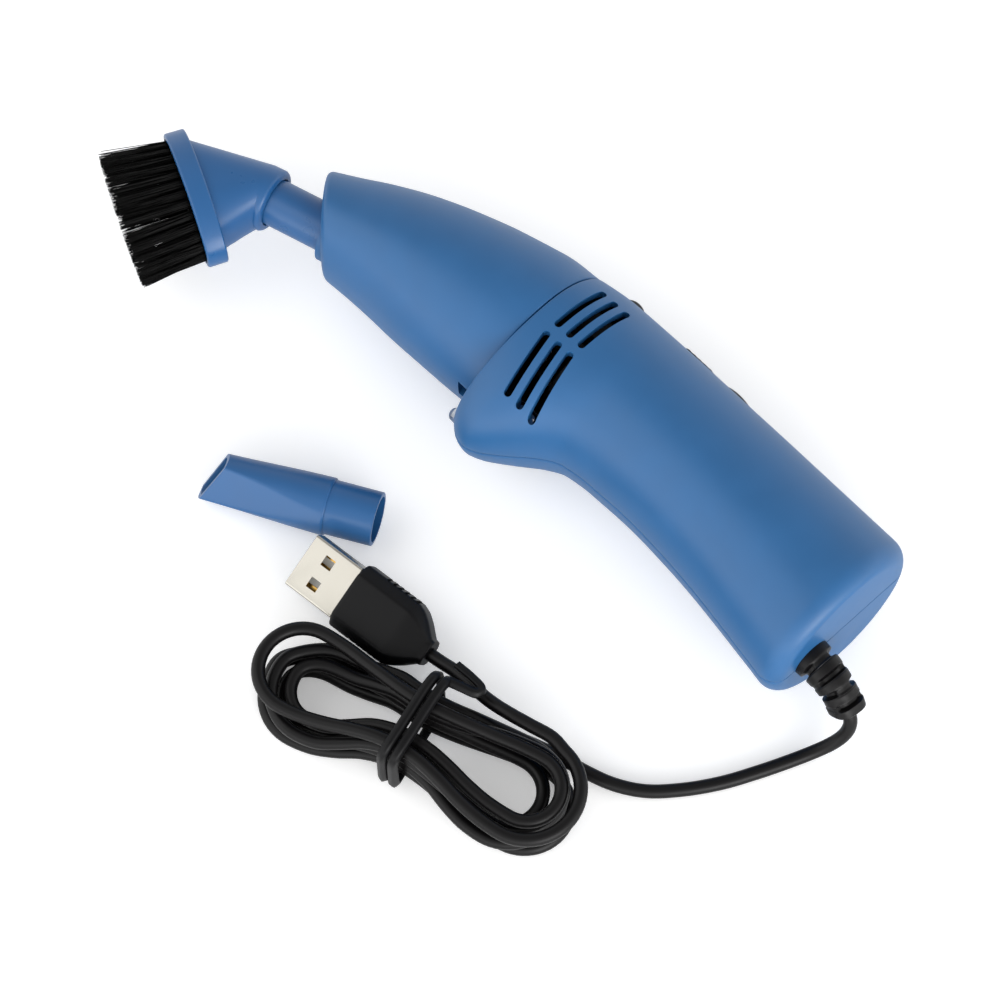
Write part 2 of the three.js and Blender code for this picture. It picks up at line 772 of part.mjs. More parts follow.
function brushHead() {
  const mouthCentre = new Vector3(brushMouth, 0, axisHeight);
  const edge = brushSocketRadius - brushSocketEdge;
  const mouth = eggRing(mouthCentre, new Vector3(0, 1, 0), edge, edge, edge);
  const rooted = brushCollarDepth / 3;
  const body = brushStationShares.map((row) => brushRing(row, 0));
  const outer = loftSolid([mouth, ...body, ovalRing(rooted, brushLong, brushHigh)]);
  const collar = ovalPrism(0, brushCollarDepth, brushLong + brushCollarRim, brushHigh + brushCollarRim);
  const inside = brushStationShares.slice(2).map((row) => brushRing(row, brushWall, innerSides));
  const narrow = brushWall + touchGap;
  const hopper = loftSolid([...inside, ovalRing(rooted, brushLong - brushWall, brushHigh - brushWall, innerSides)]);
  const throat = ovalPrism(-touchGap, brushCollarDepth + overrun, brushLong - narrow, brushHigh - narrow, innerSides);
  const recess = ovalPrism(brushCollarDepth - backingDepth - touchGap, brushCollarDepth + overrun,
    backingLong + touchGap, backingHigh + touchGap);
  const socketEnd = brushMouth + tubeInBrush + touchGap;
  const socket = rodX(tubeRadius + touchGap, brushMouth - overrun, socketEnd, 0, axisHeight);
  return subtractAll(outer.add(collar), [hopper, throat, recess, socket]);
}

// Bristles: tufts at equal steps round an oval, each strand fanned out from the mouth
function ovalPoint(long, high, angle) {
  return [long * Math.cos(angle), high * Math.sin(angle)];
}

function ovalAngles(long, high, count) {
  const fine = 720;
  const lengths = [0];
  for (let k = 1; k <= fine; k += 1) {
    const [ax, ay] = ovalPoint(long, high, (2 * Math.PI * (k - 1)) / fine);
    const [bx, by] = ovalPoint(long, high, (2 * Math.PI * k) / fine);
    lengths.push(lengths[k - 1] + Math.hypot(bx - ax, by - ay));
  }
  const angles = [];
  for (let k = 0; k < count; k += 1) {
    const target = (k / count) * lengths[fine];
    angles.push((2 * Math.PI * lengths.findIndex((length) => length >= target)) / fine);
  }
  return angles;
}

function strandSolid(foot, direction, length) {
  const geometry = new THREE.ExtrudeGeometry(polygon(bristleRadius, 3), { depth: length, bevelEnabled: false });
  geometry.applyQuaternion(new THREE.Quaternion().setFromUnitVectors(new Vector3(0, 0, 1), direction));
  geometry.translate(foot.x, foot.y, foot.z);
  return solidOf(geometry);
}

const goldenTurn = Math.PI * (3 - Math.sqrt(5));

function tuftStrands(angle, long, high) {
  const [u, v] = ovalPoint(long, high, angle);
  const across = new THREE.Vector2(high * Math.cos(angle), long * Math.sin(angle)).normalize();
  const strands = [];
  for (let k = 0; k < tuftStrandCount; k += 1) {
    const spread = Math.sqrt((k + 0.5) / tuftStrandCount);
    const depth = tuftHalfDepth * spread * Math.cos(goldenTurn * k);
    const width = tuftHalfWidth * spread * Math.sin(goldenTurn * k);
    const footU = u + across.x * depth - across.y * width;
    const footV = v + across.y * depth + across.x * width;
    const foot = collarBack.clone().addScaledVector(brushAxis, brushCollarDepth - bristleRoot);
    foot.addScaledVector(brushAcross, footU);
    foot.z += footV;
    const lean = Math.tan(bristleFan) / backingLong;
    const direction = brushAxis.clone().addScaledVector(brushAcross, footU * lean);
    direction.z += footV * lean;
    strands.push(strandSolid(foot, direction.normalize(), bristleLength + bristleRoot));
  }
  return strands;
}

function sliceEdge(angle, side, long, high) {
  const [u, v] = ovalPoint(long, high, angle);
  const across = new THREE.Vector2(high * Math.cos(angle), long * Math.sin(angle)).normalize();
  const shift = (side * touchGap) / 2;
  return [-sliceReach, sliceReach].map((reach) => [
    u + across.x * reach - across.y * shift,
    v + across.y * reach + across.x * shift,
  ]);
}

function sliceWedge(from, middle, to, long, high) {
  const [fromInner, fromOuter] = sliceEdge(from, 1, long, high);
  const [toInner, toOuter] = sliceEdge(to, -1, long, high);
  const outmost = sliceEdge(middle, 0, long, high)[1];
  const corners = [fromInner, fromOuter, outmost, toOuter, toInner];
  return loftSolid([-overrun, brushCollarDepth + overrun].map((depth) => corners.map(([u, v]) => {
    const point = collarBack.clone().addScaledVector(brushAxis, depth).addScaledVector(brushAcross, u);
    point.z += v;
    return point;
  })));
}

function bristles(slice) {
  const long = (mouthLong + backingLong) / 2;
  const high = (mouthHigh + backingHigh) / 2;
  const angles = ovalAngles(long, high, 2 * tuftCount);
  const [first, last] = bristleSliceTufts[slice];
  const angleAt = (step) => {
    const turns = Math.floor(step / (2 * tuftCount));
    return angles[step - turns * 2 * tuftCount] + turns * 2 * Math.PI;
  };
  const whole = ovalPrism(brushCollarDepth - backingDepth, brushCollarDepth, backingLong, backingHigh);
  const hole = ovalPrism(-overrun, brushCollarDepth + overrun, mouthLong, mouthHigh);
  const wedge = sliceWedge(angleAt(2 * first - 1), angleAt(first + last), angleAt(2 * last + 1), long, high);
  const backing = whole.subtract(hole).intersect(wedge);
  const strands = [];
  for (let tuft = first; tuft <= last; tuft += 1) {
    strands.push(...tuftStrands(angleAt(2 * tuft), long, high));
  }
  return union([backing, ...strands]);
}

// Filter in the collar bore
function filterSeal() {
  const from = touchGap;
  const ring = rimPrism(boreInset + touchGap, from, from + sealDepth);
  return ring.subtract(rimPrism(boreInset + ledgeWidth, from - overrun, from + overrun + sealDepth));
}

function filterFrame() {
  const from = sealDepth + 2 * touchGap;
  const outer = rimPrism(boreInset + touchGap, from, from + frameDepth, collarDraft);
  const inner = rimPrism(boreInset + touchGap + frameWall, from - overrun, from + frameDepth + overrun, collarDraft);
  const bars = rimPrism(boreInset + touchGap + frameWall / 2, from, from + frameBar);
  const reach = coverBelly;
  const upright = box(-reach, reach, -frameBar / 2, frameBar / 2, 0, 2 * axisHeight);
  const level = box(-reach, reach, -reach, reach, axisHeight - frameBar / 2, axisHeight + frameBar / 2);
  return outer.subtract(inner).add(bars.intersect(upright.add(level)));
}

function filterCloth() {
  const from = sealDepth + frameDepth + 3 * touchGap;
  return loftSolid(clothDomeShares.map(([rise, narrow]) => {
    const less = boreInset + touchGap + clothInset + narrow * clothInsetReach;
    return coverRing(0, less, from + rise * clothDepth, collarDraft);
  }));
}

// Fan plate, impeller and motor
function fanPlate() {
  const plate = handleSkin(housingWall + touchGap, 0, innerSides);
  const slab = box(fanPlateFront - fanPlateThickness, fanPlateFront, -handleTop, fanPlateReach, 0, 2 * axisHeight);
  const inlet = rodX(fanInletRadius, fanPlateFront - overrun, fanPlateFront + overrun, 0, axisHeight);
  return plate.intersect(slab).subtract(inlet);
}

function bladeShape(turn) {
  const shape = new Shape();
  const steps = bladeSteps;
  const inner = fanHubRadius - fanBladeThickness / 2;
  const outer = fanRadius;
  const sides = [[], []];
  for (let k = 0; k <= steps; k += 1) {
    const radius = THREE.MathUtils.lerp(inner, outer, k / steps);
    const angle = turn + (fanBladeSweep * k) / steps;
    const half = fanBladeThickness / 2 / radius;
    sides.forEach((side, i) => {
      const offset = angle + (i === 0 ? -half : half);
      side.push([radius * Math.cos(offset), axisHeight + radius * Math.sin(offset)]);
    });
  }
  [...sides[0], ...sides[1].reverse()].forEach(([y, z], i) => shape[i === 0 ? 'moveTo' : 'lineTo'](y, z));
  shape.closePath();
  return shape;
}

function fanImpeller() {
  const disc = rodX(fanRadius, fanBack, fanBack + fanDiscThickness, 0, axisHeight);
  const hub = rodX(fanHubRadius, fanBack, fanFront - fanClearance, 0, axisHeight, smallSides);
  const blades = [];
  for (let k = 0; k < fanBladeCount; k += 1) {
    blades.push(extrudeX(bladeShape((2 * Math.PI * k) / fanBladeCount), fanBack + fanDiscThickness / 2, fanFront));
  }
  const bore = rodX(shaftRadius + touchGap, fanBack - overrun, fanFront + overrun, 0, axisHeight, smallSides);
  const eye = rodX(fanHubRadius * 2, fanFront - 2 * fanClearance, fanFront + overrun, 0, axisHeight);
  return subtractAll(union([disc, hub, ...blades]), [bore, eye]);
}

function motorCan() {
  const bore = rodX(shaftRadius + touchGap, motorBack - overrun, motorFront + overrun, 0, axisHeight, smallSides);
  return motorSolid(0, motorBack, motorFront).subtract(bore);
}

function motorEndCap() {
  const end = motorBack - touchGap;
  const bore = rodX(shaftRadius + touchGap, end - motorCapLength - overrun, end + overrun, 0, axisHeight, smallSides);
  return motorSolid(-motorCapInset, end - motorCapLength, end).subtract(bore);
}

function motorBush() {
  const start = motorFront + touchGap;
  const bore = rodX(shaftRadius + touchGap, start - overrun, start + bushLength + overrun, 0, axisHeight, smallSides);
  return rodX(bushRadius, start, start + bushLength, 0, axisHeight, smallSides).subtract(bore);
}

function motorShaft() {
  const start = motorBack - motorCapLength - shaftRearLength;
  return rodX(shaftRadius, start, fanFront - 2 * fanClearance - touchGap, 0, axisHeight, smallSides);
}

// Board, capacitor and leads
function circuitBoard() {
  const half = boardThickness / 2;
  return box(boardEnd - boardLength, boardEnd, -boardWidth / 2, boardWidth / 2, axisHeight - half, axisHeight + half);
}

function capacitor() {
  const foot = axisHeight + boardThickness / 2 + touchGap;
  return rodZ(capacitorRadius, boardEnd - boardLength * capacitorPlaceShare, 0, foot, foot + capacitorHeight, smallSides);
}

function motorLead(side) {
  const start = boardEnd + touchGap;
  const end = motorBack - motorCapLength - 2 * touchGap;
  const y = side * motorLeadSpread;
  const middle = (start + end) / 2;
  const points = [[start, 0], [start + leadRadius, 0], [middle, motorLeadBow], [end - leadRadius, 0], [end, 0]];
  const path = points.map(([x, bow]) => new Vector3(x, y + side * bow / 2, axisHeight + bow));
  return tubeAlong(path, leadRadius, leadSides, motorLeadSteps);
}

function lampLead() {
  const start = boardWidth / 2 + touchGap;
  const boardX = boardEnd - shelfInset;
  const hump = frontX - screwPlaces[0].back;
  const end = lampFront - lampLength - touchGap;
  const path = [
    [boardX, start], [boardX, start + leadRadius * 2], [boardX + lampLeadChannel - start, lampLeadChannel],
    [motorBack, lampLeadChannel], [motorFront - cradleInset - overrun, lampLeadChannel],
    [hump - bossRadius, lampLeadPass], [hump + bossRadius, lampLeadPass],
    [end - leadRadius * 3, lampRise - leadRadius * 2], [end, lampRise],
  ];
  const points = path.map(([x, y]) => new Vector3(x, y, axisHeight));
  return tubeAlong(points, leadRadius, leadSides, lampLeadSteps);
}

function ledLens() {
  const points = [new THREE.Vector2(0, -lampLength)];
  points.push(new THREE.Vector2(lampRadius, -lampLength));
  for (let k = 0; k < lampDomeSteps; k += 1) {
    const angle = (k / lampDomeSteps) * (Math.PI / 2);
    points.push(new THREE.Vector2(lampRadius * Math.cos(angle), lampRadius * Math.sin(angle)));
  }
  points.push(new THREE.Vector2(0, lampRadius));
  const geometry = new THREE.LatheGeometry(points, smallSides);
  geometry.rotateZ(-Math.PI / 2);
  geometry.translate(lampFront, lampRise, axisHeight);
  return solidOf(geometry);
}

// Slide switch
function plateBump(end) {
  const geometry = new THREE.SphereGeometry(1, smallSides, arcSides);
  geometry.scale(plateBumpLength / 2, plateBumpRise + plateProud, plateBumpWidth / 2);
  const x = frontX - plateCentre + end * (plateLength - plateBumpLength - plateWidth / 4) / 2;
  geometry.translate(x, -handleTop - plateProud / 2, axisHeight);
  return solidOf(geometry);
}

function switchPlate() {
  const body = switchCapsule(0).intersect(handleSkin(-plateProud)).subtract(handleSkin(plateSink));
  const bumps = [1, -1].map((end) => plateBump(end).subtract(handleSkin(plateSink)));
  const slot = knobSlot(touchGap);
  return union([body, ...bumps]).subtract(slot);
}

function switchKnob() {
  const x = frontX - knobCentre;
  const foot = -handleTop - plateProud - touchGap;
  const cap = box(x - knobLength / 2, x + knobLength / 2, foot - knobRise, foot, axisHeight - knobWidth / 2,
    axisHeight + knobWidth / 2);
  const stem = box(x - stemLength / 2, x + stemLength / 2, foot, -switchBodyTop + switchSlotDepth / 2,
    axisHeight - stemWidth / 2, axisHeight + stemWidth / 2);
  const grooves = [];
  for (let k = 0; k < knobRibs - 1; k += 1) {
    const centre = x + (k - (knobRibs - 2) / 2) * (knobLength / knobRibs);
    const half = knobLength / knobRibs / 4;
    grooves.push(box(centre - half, centre + half, foot - knobRise - overrun, foot - knobRise + knobRibDepth, 0,
      2 * axisHeight));
  }
  return subtractAll(cap.add(stem), grooves);
}

function switchBody() {
  const x = frontX - knobCentre + knobTravel / 2;
  const body = box(x - switchBodyLength / 2, x + switchBodyLength / 2, -switchBodyTop, -switchBodyTop + switchBodyDepth,
    axisHeight - switchBodyWidth / 2, axisHeight + switchBodyWidth / 2);
  const reach = stemLength / 2 + touchGap;
  const side = stemWidth / 2 + touchGap;
  const knobX = frontX - knobCentre;
  const slot = box(knobX - reach, knobX + knobTravel + reach, -switchBodyTop - overrun, -switchBodyTop + switchSlotDepth,
    axisHeight - side, axisHeight + side);
  return body.subtract(slot);
}

// Screws, driven from the hidden side
function screw(place) {
  const [x, y] = screwAxis(place);
  const seat = place.lift + screwSeat - screwHeadHeight - touchGap;
  const head = rodZ(screwHeadRadius, x, y, seat - screwHeadHeight, seat, smallSides);
  const shank = rodZ(screwCoreRadius, x, y, seat - screwHeadHeight / 2, seat + screwLength, smallSides);
  const slots = [[screwHeadRadius, crossSlotWidth / 2], [crossSlotWidth / 2, screwHeadRadius]].map(([dx, dy]) => {
    const reach = crossSlotShare;
    return box(x - dx * reach, x + dx * reach, y - dy * reach, y + dy * reach, seat - screwHeadHeight - overrun,
      seat - screwHeadHeight + crossSlotDepth);
  });
  return subtractAll(head.add(shank), slots);
}

// Strain relief: rings along a drooping curve, wide at each rib and narrow between ribs
function reliefCurve() {
  const start = new Vector3(rearX - touchGap, reliefRise, axisHeight);
  const bend = start.clone().add(new Vector3(-reliefLength * reliefStraightShare, 0, 0));
  const end = start.clone().add(new Vector3(-reliefLength * reliefReachShare, reliefTipOffset, -reliefDrop));
  return new THREE.QuadraticBezierCurve3(start, bend, end);
}

function reliefRing(curve, share, radius) {
  const centre = curve.getPointAt(share);
  const tangent = curve.getTangentAt(share);
  const side = new Vector3(0, 1, 0).addScaledVector(tangent, -tangent.y).normalize();
  const up = side.clone().cross(tangent).normalize();
  const ring = [];
  for (let k = 0; k < reliefSides; k += 1) {
    const angle = (2 * Math.PI * k) / reliefSides;
    const point = centre.clone().addScaledVector(side, radius * Math.cos(angle));
    ring.push(point.addScaledVector(up, radius * Math.sin(angle)));
  }
  return ring;
}

const reliefRibShares = [[0, -1], [0.06, 0], [0.56, 0], [0.62, -1]];

function strainRelief() {
  const curve = reliefCurve();
  const rings = [];
  for (let k = 0; k < reliefRibs; k += 1) {
    for (const [within, step] of reliefRibShares) {
      const share = (k + within) / (reliefRibs - 1 + reliefRibShares.at(-1)[0]);
      const radius = THREE.MathUtils.lerp(reliefRadius, reliefTipRadius, share);
      const narrow = k === 0 && within === 0 ? 0 : step * reliefGroove;
      rings.push(reliefRing(curve, Math.min(share, 1), radius + narrow));
    }
  }
  const neckEnd = rearX + housingWall + touchGap;
  const flangeEnd = neckEnd + reliefFlangeThickness;
  const neck = rodX(reliefNeckRadius, rearX - 2 * touchGap, flangeEnd, reliefRise, axisHeight, smallSides);
  const flange = rodX(reliefFlangeRadius, neckEnd, flangeEnd, reliefRise, axisHeight, smallSides);
  return union([loftSolid(rings), neck, flange]);
}

// Cord, hank and tie
const cordVector = ([x, y, z]) => new Vector3(x, y, z);

function hankPoints() {
  const points = [];
  const fold = hankHalfLength - hankOuterRadius;
  const turns = hankLayers * hankTurnsPerLayer;
  const quarters = turns * 4;
  let radius = hankOuterRadius + hankPitch / 4;
  let level = 0;
  for (let q = 0; q < quarters; q += 1) {
    const layer = Math.floor(q / (hankTurnsPerLayer * 4));
    const climbing = q > 0 && q % (hankTurnsPerLayer * 4) === 0;
    const onRun = q % 2 === 0;
    const steps = onRun ? runSteps : foldSteps;
    const step = climbing ? 0 : (layer % 2 === 0 ? -1 : 1) * (hankPitch / 4);
    for (let k = 0; k < steps; k += 1) {
      const share = k / steps;
      const reach = radius + step * share;
      const height = level + (climbing ? share : 0);
      points.push(hankPoint(q % 4, share, reach, fold, height));
    }
    radius += step;
    level += climbing ? 1 : 0;
  }
  return points;
}

function hankPoint(quarter, share, reach, fold, height) {
  const [cx, cy] = hankPlace;
  const heading = quarter < 2 ? 1 : -1;
  let x = heading * THREE.MathUtils.lerp(-fold, fold, share);
  let y = -heading * reach;
  let bump = 0;
  if (quarter % 2 === 1) {
    const angle = -Math.PI / 2 + Math.PI * share;
    x = heading * (fold + reach * Math.cos(angle));
    y = heading * reach * Math.sin(angle);
  } else {
    bump = Math.cos((Math.PI * x) / (2 * fold)) ** 2;
    y += heading * hankPull * bump;
  }
  if (y < 0) {
    const below = THREE.MathUtils.clamp(hankLayers - 1 - height, 0, 1);
    const way = THREE.MathUtils.smoothstep(x, makeWayStart, makeWayEnd) * below;
    y += hankMakeWay * way * Math.min(1, -y / makeWayReach);
  }
  return new Vector3(cx + x, cy + y, cordRadius + height * hankLayerStep + hankLift * bump);
}

function tubeRings(points, radius, sides) {
  const geometry = [];
  let side = new Vector3(0, 0, 1);
  points.forEach((point, i) => {
    const before = points[Math.max(i - 1, 0)];
    const after = points[Math.min(i + 1, points.length - 1)];
    const tangent = after.clone().sub(before).normalize();
    side = side.clone().addScaledVector(tangent, -side.dot(tangent)).normalize();
    const other = tangent.clone().cross(side);
    const ring = [];
    for (let k = 0; k < sides; k += 1) {
      const angle = (2 * Math.PI * k) / sides;
      const rim = point.clone().addScaledVector(side, radius * Math.cos(angle));
      ring.push(rim.addScaledVector(other, radius * Math.sin(angle)));
    }
    geometry.push(ring);
  });
  return geometry;
}

function leastGap(points, diameter) {
  let least = Infinity;
  for (let i = 0; i + 1 < points.length; i += 1) {
    let travelled = 0;
    for (let j = i + 2; j < points.length; j += 1) {
      travelled += points[j].distanceTo(points[j - 1]);
      if (travelled > diameter * Math.PI) {
        least = Math.min(least, segmentDistance(points, i, points[j]) - diameter);
      }
    }
  }
  return least;
}

function segmentDistance(points, i, point) {
  const nearest = new Vector3();
  new THREE.Line3(points[i], points[i + 1]).closestPointToPoint(point, true, nearest);
  return nearest.distanceTo(point);
}

function hankPath() {
  const points = hankPoints();
  const tail = new THREE.CatmullRomCurve3([points.at(-1), ...hankTail.map(cordVector)], false, 'centripetal');
  const rest = tail.getPoints(hankTail.length * 2).slice(1);
  const start = points[0].clone().add(new Vector3(-2 * cordRadius * 0.2, 0, 0));
  return [start, ...points.slice(1), ...rest];
}

function cordHank() {
  const path = hankPath();
  console.log('least gap of the hank to itself', leastGap(path, 2 * cordRadius).toFixed(2), 'mm');
  return solidOf(loft(tubeRings(path, cordRadius, hankSides)));
}

function cordLead() {
  return tubeAlong(cordRoute.map(cordVector), cordRadius, cordSides, cordSteps);
}

function twistTie() {
  const height = hankLayers * hankLayerStep - hankLayerStep + 2 * cordRadius + hankLift;
  const half = (height + 3 * touchGap) / 2;
  const points = [];
  const power = 2 / tieSquareness;
  const round = (value) => Math.sign(value) * Math.abs(value) ** power;
  for (let k = 0; k <= tiePoints; k += 1) {
    const share = k / tiePoints;
    const angle = Math.PI * 2 * (tieTurns * (share - 1) + tieEndTurn);
    const y = hankPlace[1] + tieShift + tieHalfWidth * round(Math.cos(angle));
    const z = tieRadius + half + half * round(Math.sin(angle));
    points.push(new Vector3(hankPlace[0] + tieAdvance * (0.5 - share), y, z));
  }
  return tubeAlong([...points, ...tieTail.map(cordVector)], tieRadius, tieSides, tieSteps);
}

// Plug, in its own frame: +X out of the shell, +Z out of the shell's broad face
function gripRing(x, halfWidth, halfHeight, chamfer) {
  const corners = [
    [halfWidth, halfHeight - chamfer], [halfWidth - chamfer, halfHeight], [-halfWidth + chamfer, halfHeight],
    [-halfWidth, halfHeight - chamfer], [-halfWidth, -halfHeight + chamfer], [-halfWidth + chamfer, -halfHeight],
    [halfWidth - chamfer, -halfHeight], [halfWidth, -halfHeight + chamfer],
  ];
  return corners.map(([y, z]) => new Vector3(x, y, z));
}

const gripStationShares = [[0, 0.97], [0.04, 1], [0.62, 1], [0.8, 0.86], [0.94, 0.52], [1, gripTailShare]];

function plugGrip() {
  const rings = gripStationShares.map(([along, size]) => {
    const blend = (size - gripTailShare) / (1 - gripTailShare);
    const width = THREE.MathUtils.lerp(gripTail, gripWidth, blend);
    const height = THREE.MathUtils.lerp(gripTail, gripHeight, blend);
    return gripRing(-along * gripLength, width / 2, height / 2, gripChamfer * size);
  });
  const grooves = [];
  for (let k = 0; k < gripRibs; k += 1) {
    const x = -gripRibStart - k * gripRibPitch;
    for (const side of [1, -1]) {
      const y = side * gripWidth / 2;
      grooves.push(box(x - gripRibWidth, x, Math.min(y, y - side * gripRibDepth) - (side < 0 ? overrun : 0),
        Math.max(y, y - side * gripRibDepth) + (side > 0 ? overrun : 0), -gripHeight / 4, gripHeight / 4));
    }
  }
  return subtractAll(loftSolid(rings), grooves);
}

function plugShell() {
  const [w, h] = [plugShellWidth / 2, plugShellHeight / 2];
  const start = touchGap;
  const body = box(start, plugShellLength, -w, w, -h, h);
  const hollow = box(start + plugBackWall, plugShellLength + overrun, -w + plugShellWall, w - plugShellWall,
    -h + plugShellWall, h - plugShellWall);
  const windows = [1, -1].map((side) => {
    const y = side * plugWindowPitch / 2;
    const half = plugWindow / 2;
    return box(plugWindowPlace - half, plugWindowPlace + half, y - half, y + half, -h - overrun, h + overrun);
  });
  return subtractAll(body, [hollow, ...windows]);
}

function plugTongue() {
  const floor = -plugShellHeight / 2 + plugShellWall + touchGap;
  const start = 2 * touchGap + plugBackWall;
  return box(start, plugShellLength - plugTongueSetback, -plugTongueWidth / 2, plugTongueWidth / 2, floor,
    floor + plugTongueThickness - touchGap);
}

function plugContact(k) {
  const y = (k - (plugContactCount - 1) / 2) * plugContactPitch;
  const foot = -plugShellHeight / 2 + plugShellWall + plugTongueThickness + plugContactGap;
  const end = plugShellLength - 2 * plugTongueSetback;
  return box(end - plugContactLength, end, y - plugContactWidth / 2, y + plugContactWidth / 2, foot,
    foot + plugContactThickness);
}

// Crevice nozzle, in its own frame: +X from mouth to tip, +Y along the wide side of the tip
function creviceRing(x, radius, blend, inset) {
  const long = THREE.MathUtils.lerp(radius, creviceTipLong, blend) - inset;
  const thin = THREE.MathUtils.lerp(radius, creviceTipThin, blend) - inset;
  return eggRing(new Vector3(x, 0, 0), new Vector3(0, 1, 0), long, long, thin);
}

function creviceSkin(inset, reach) {
  const spigot = creviceSpigotLength;
  const rings = [
    creviceRing(-reach, creviceSpigotRadius, 0, inset), creviceRing(spigot - touchGap, creviceSpigotRadius, 0, inset),
  ];
  for (const [along, blend] of creviceStationShares) {
    rings.push(creviceRing(creviceLength * along + (along === 1 ? reach : 0), creviceRadius, blend, inset));
  }
  return loftSolid(rings);
}

function creviceNozzle() {
  const cut = new THREE.BoxGeometry(creviceLength, creviceLength, creviceLength);
  cut.translate(creviceLength / 2, 0, 0);
  cut.rotateY(-creviceCutThin);
  cut.rotateZ(-creviceCutAcross);
  cut.translate(creviceLength - Math.tan(creviceCutAcross) * creviceTipLong, 0, 0);
  return creviceSkin(0, 0).subtract(creviceSkin(creviceWall, overrun)).subtract(solidOf(cut));
}

// Assembly
const cleaner = new Group();
const handle = new Group();
handle.rotation.z = -handleBend;
cleaner.add(handle);
const nozzle = new Group();
nozzle.position.set(frontX, 0, 0);
nozzle.rotation.z = handleBend;
handle.add(nozzle);

const { upper, lower } = splitHandle();
handle.add(
  meshOf('handle_half_upper', upper, bluePlastic),
  meshOf('handle_half_lower', lower, bluePlastic),
  meshOf('fan_plate', fanPlate(), blackPlastic),
  meshOf('fan_impeller', fanImpeller(), whitePlastic),
  meshOf('motor_can', motorCan(), steel),
  meshOf('motor_end_cap', motorEndCap(), blackPlastic),
  meshOf('motor_bush', motorBush(), brass),
  meshOf('motor_shaft', motorShaft(), steel),
  meshOf('circuit_board', circuitBoard(), greenBoard),
  meshOf('capacitor', capacitor(), blackPlastic),
  meshOf('motor_lead_red', motorLead(1), redWire),
  meshOf('motor_lead_black', motorLead(-1), blackRubber),
  meshOf('led_lead', lampLead(), redWire),
  meshOf('led_lens', ledLens(), clearLens),
  meshOf('switch_plate', switchPlate(), blackPlastic),
  meshOf('switch_knob', switchKnob(), blackPlastic),
  meshOf('switch_body', switchBody(), blackPlastic),
  meshOf('strain_relief', strainRelief(), darkGrommet),
);
for (const place of screwPlaces) {
  handle.add(meshOf(place.name, screw(place), steel));
}

nozzle.add(
  meshOf('front_cover', frontCover(), bluePlastic),
  meshOf('nozzle_tube', nozzleTube(), glossBluePlastic),
  meshOf('brush_head', brushHead(), glossBluePlastic),
  meshOf('filter_seal', filterSeal(), blackRubber),
  meshOf('filter_frame', filterFrame(), whitePlastic),
  meshOf('filter_cloth', filterCloth(), greyCloth),
);
['bristles_belly', 'bristles_front', 'bristles_top', 'bristles_back'].forEach((name, slice) => {
  nozzle.add(meshOf(name, bristles(slice), bristleNylon));
});

cleaner.add(
  meshOf('cord_lead', cordLead(), blackRubber),
  meshOf('cord_hank', cordHank(), blackRubber),
  meshOf('twist_tie', twistTie(), blackRubber),
);

const plug = new Group();
plug.position.set(...plugPlace);
plug.rotation.set(plugRoll, 0, plugYaw, 'ZYX');
plug.add(
  meshOf('usb_overmould', plugGrip(), blackPlastic),
  meshOf('usb_shell', plugShell(), nickel),
  meshOf('usb_tongue', plugTongue(), whitePlastic),
);
for (let k = 0; k < plugContactCount; k += 1) {
  plug.add(meshOf(`usb_contact_${k + 1}`, plugContact(k), brass));
}
cleaner.add(plug);

const crevice = new Group();
crevice.position.set(...crevicePlace, creviceRadius);
crevice.rotation.set(creviceRoll, 0, creviceYaw, 'ZYX');
crevice.add(meshOf('crevice_nozzle', creviceNozzle(), glossBluePlastic));
cleaner.add(crevice);

export default cleaner;
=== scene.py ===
"""Builds the visual scene of a corded mini vacuum cleaner for keyboards that lies on its side."""
import logging
import math
import random
from dataclasses import dataclass, field
from enum import Enum
from typing import Iterable, Optional, Sequence

import bpy
from bpy.types import ID, Material, Mesh, Modifier, Node, NodeSocket, NodeTree, Object
from mathutils import Matrix, Vector


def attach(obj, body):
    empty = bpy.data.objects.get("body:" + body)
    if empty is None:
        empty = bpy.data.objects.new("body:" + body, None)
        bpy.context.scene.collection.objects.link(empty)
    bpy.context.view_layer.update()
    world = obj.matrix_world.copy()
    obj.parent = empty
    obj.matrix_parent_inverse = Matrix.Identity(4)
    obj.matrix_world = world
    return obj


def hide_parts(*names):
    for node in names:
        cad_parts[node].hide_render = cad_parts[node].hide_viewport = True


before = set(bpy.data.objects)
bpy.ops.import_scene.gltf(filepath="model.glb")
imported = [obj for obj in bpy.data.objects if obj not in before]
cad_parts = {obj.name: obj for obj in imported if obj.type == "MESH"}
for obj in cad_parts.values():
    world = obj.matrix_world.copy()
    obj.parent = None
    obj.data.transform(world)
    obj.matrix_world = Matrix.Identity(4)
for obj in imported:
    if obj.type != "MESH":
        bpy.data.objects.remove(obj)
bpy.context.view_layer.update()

log = logging.getLogger("scene")

# Lengths are in millimetres unless a docstring says metres, and angles in radians
MM = 0.001
DEGREE = math.pi / 180
TOUCH_GAP = 0.3
PARTING_GAP = 0.3
# How far a cutter runs past what it cuts
OVERRUN = 4.0
# The handle's axis runs level from its rear face to its front plane
HANDLE_LENGTH = 84.7
HANDLE_BEND = 17 * DEGREE
FRONT_X = HANDLE_LENGTH / 2
REAR_X = -FRONT_X
AXIS_HEIGHT = 17.5
# A place in Y past the handle's top edge, where cutters start
OVER_TOP = -24
# Most values of a noise texture lie between these two
NOISE_LOW, NOISE_HIGH = 0.3, 0.7

Number = float
Pair = tuple[Number, Number]
Triple = tuple[Number, Number, Number]
Ring = list[Vector]
Outline = list[Pair]
Stops = list[Pair]


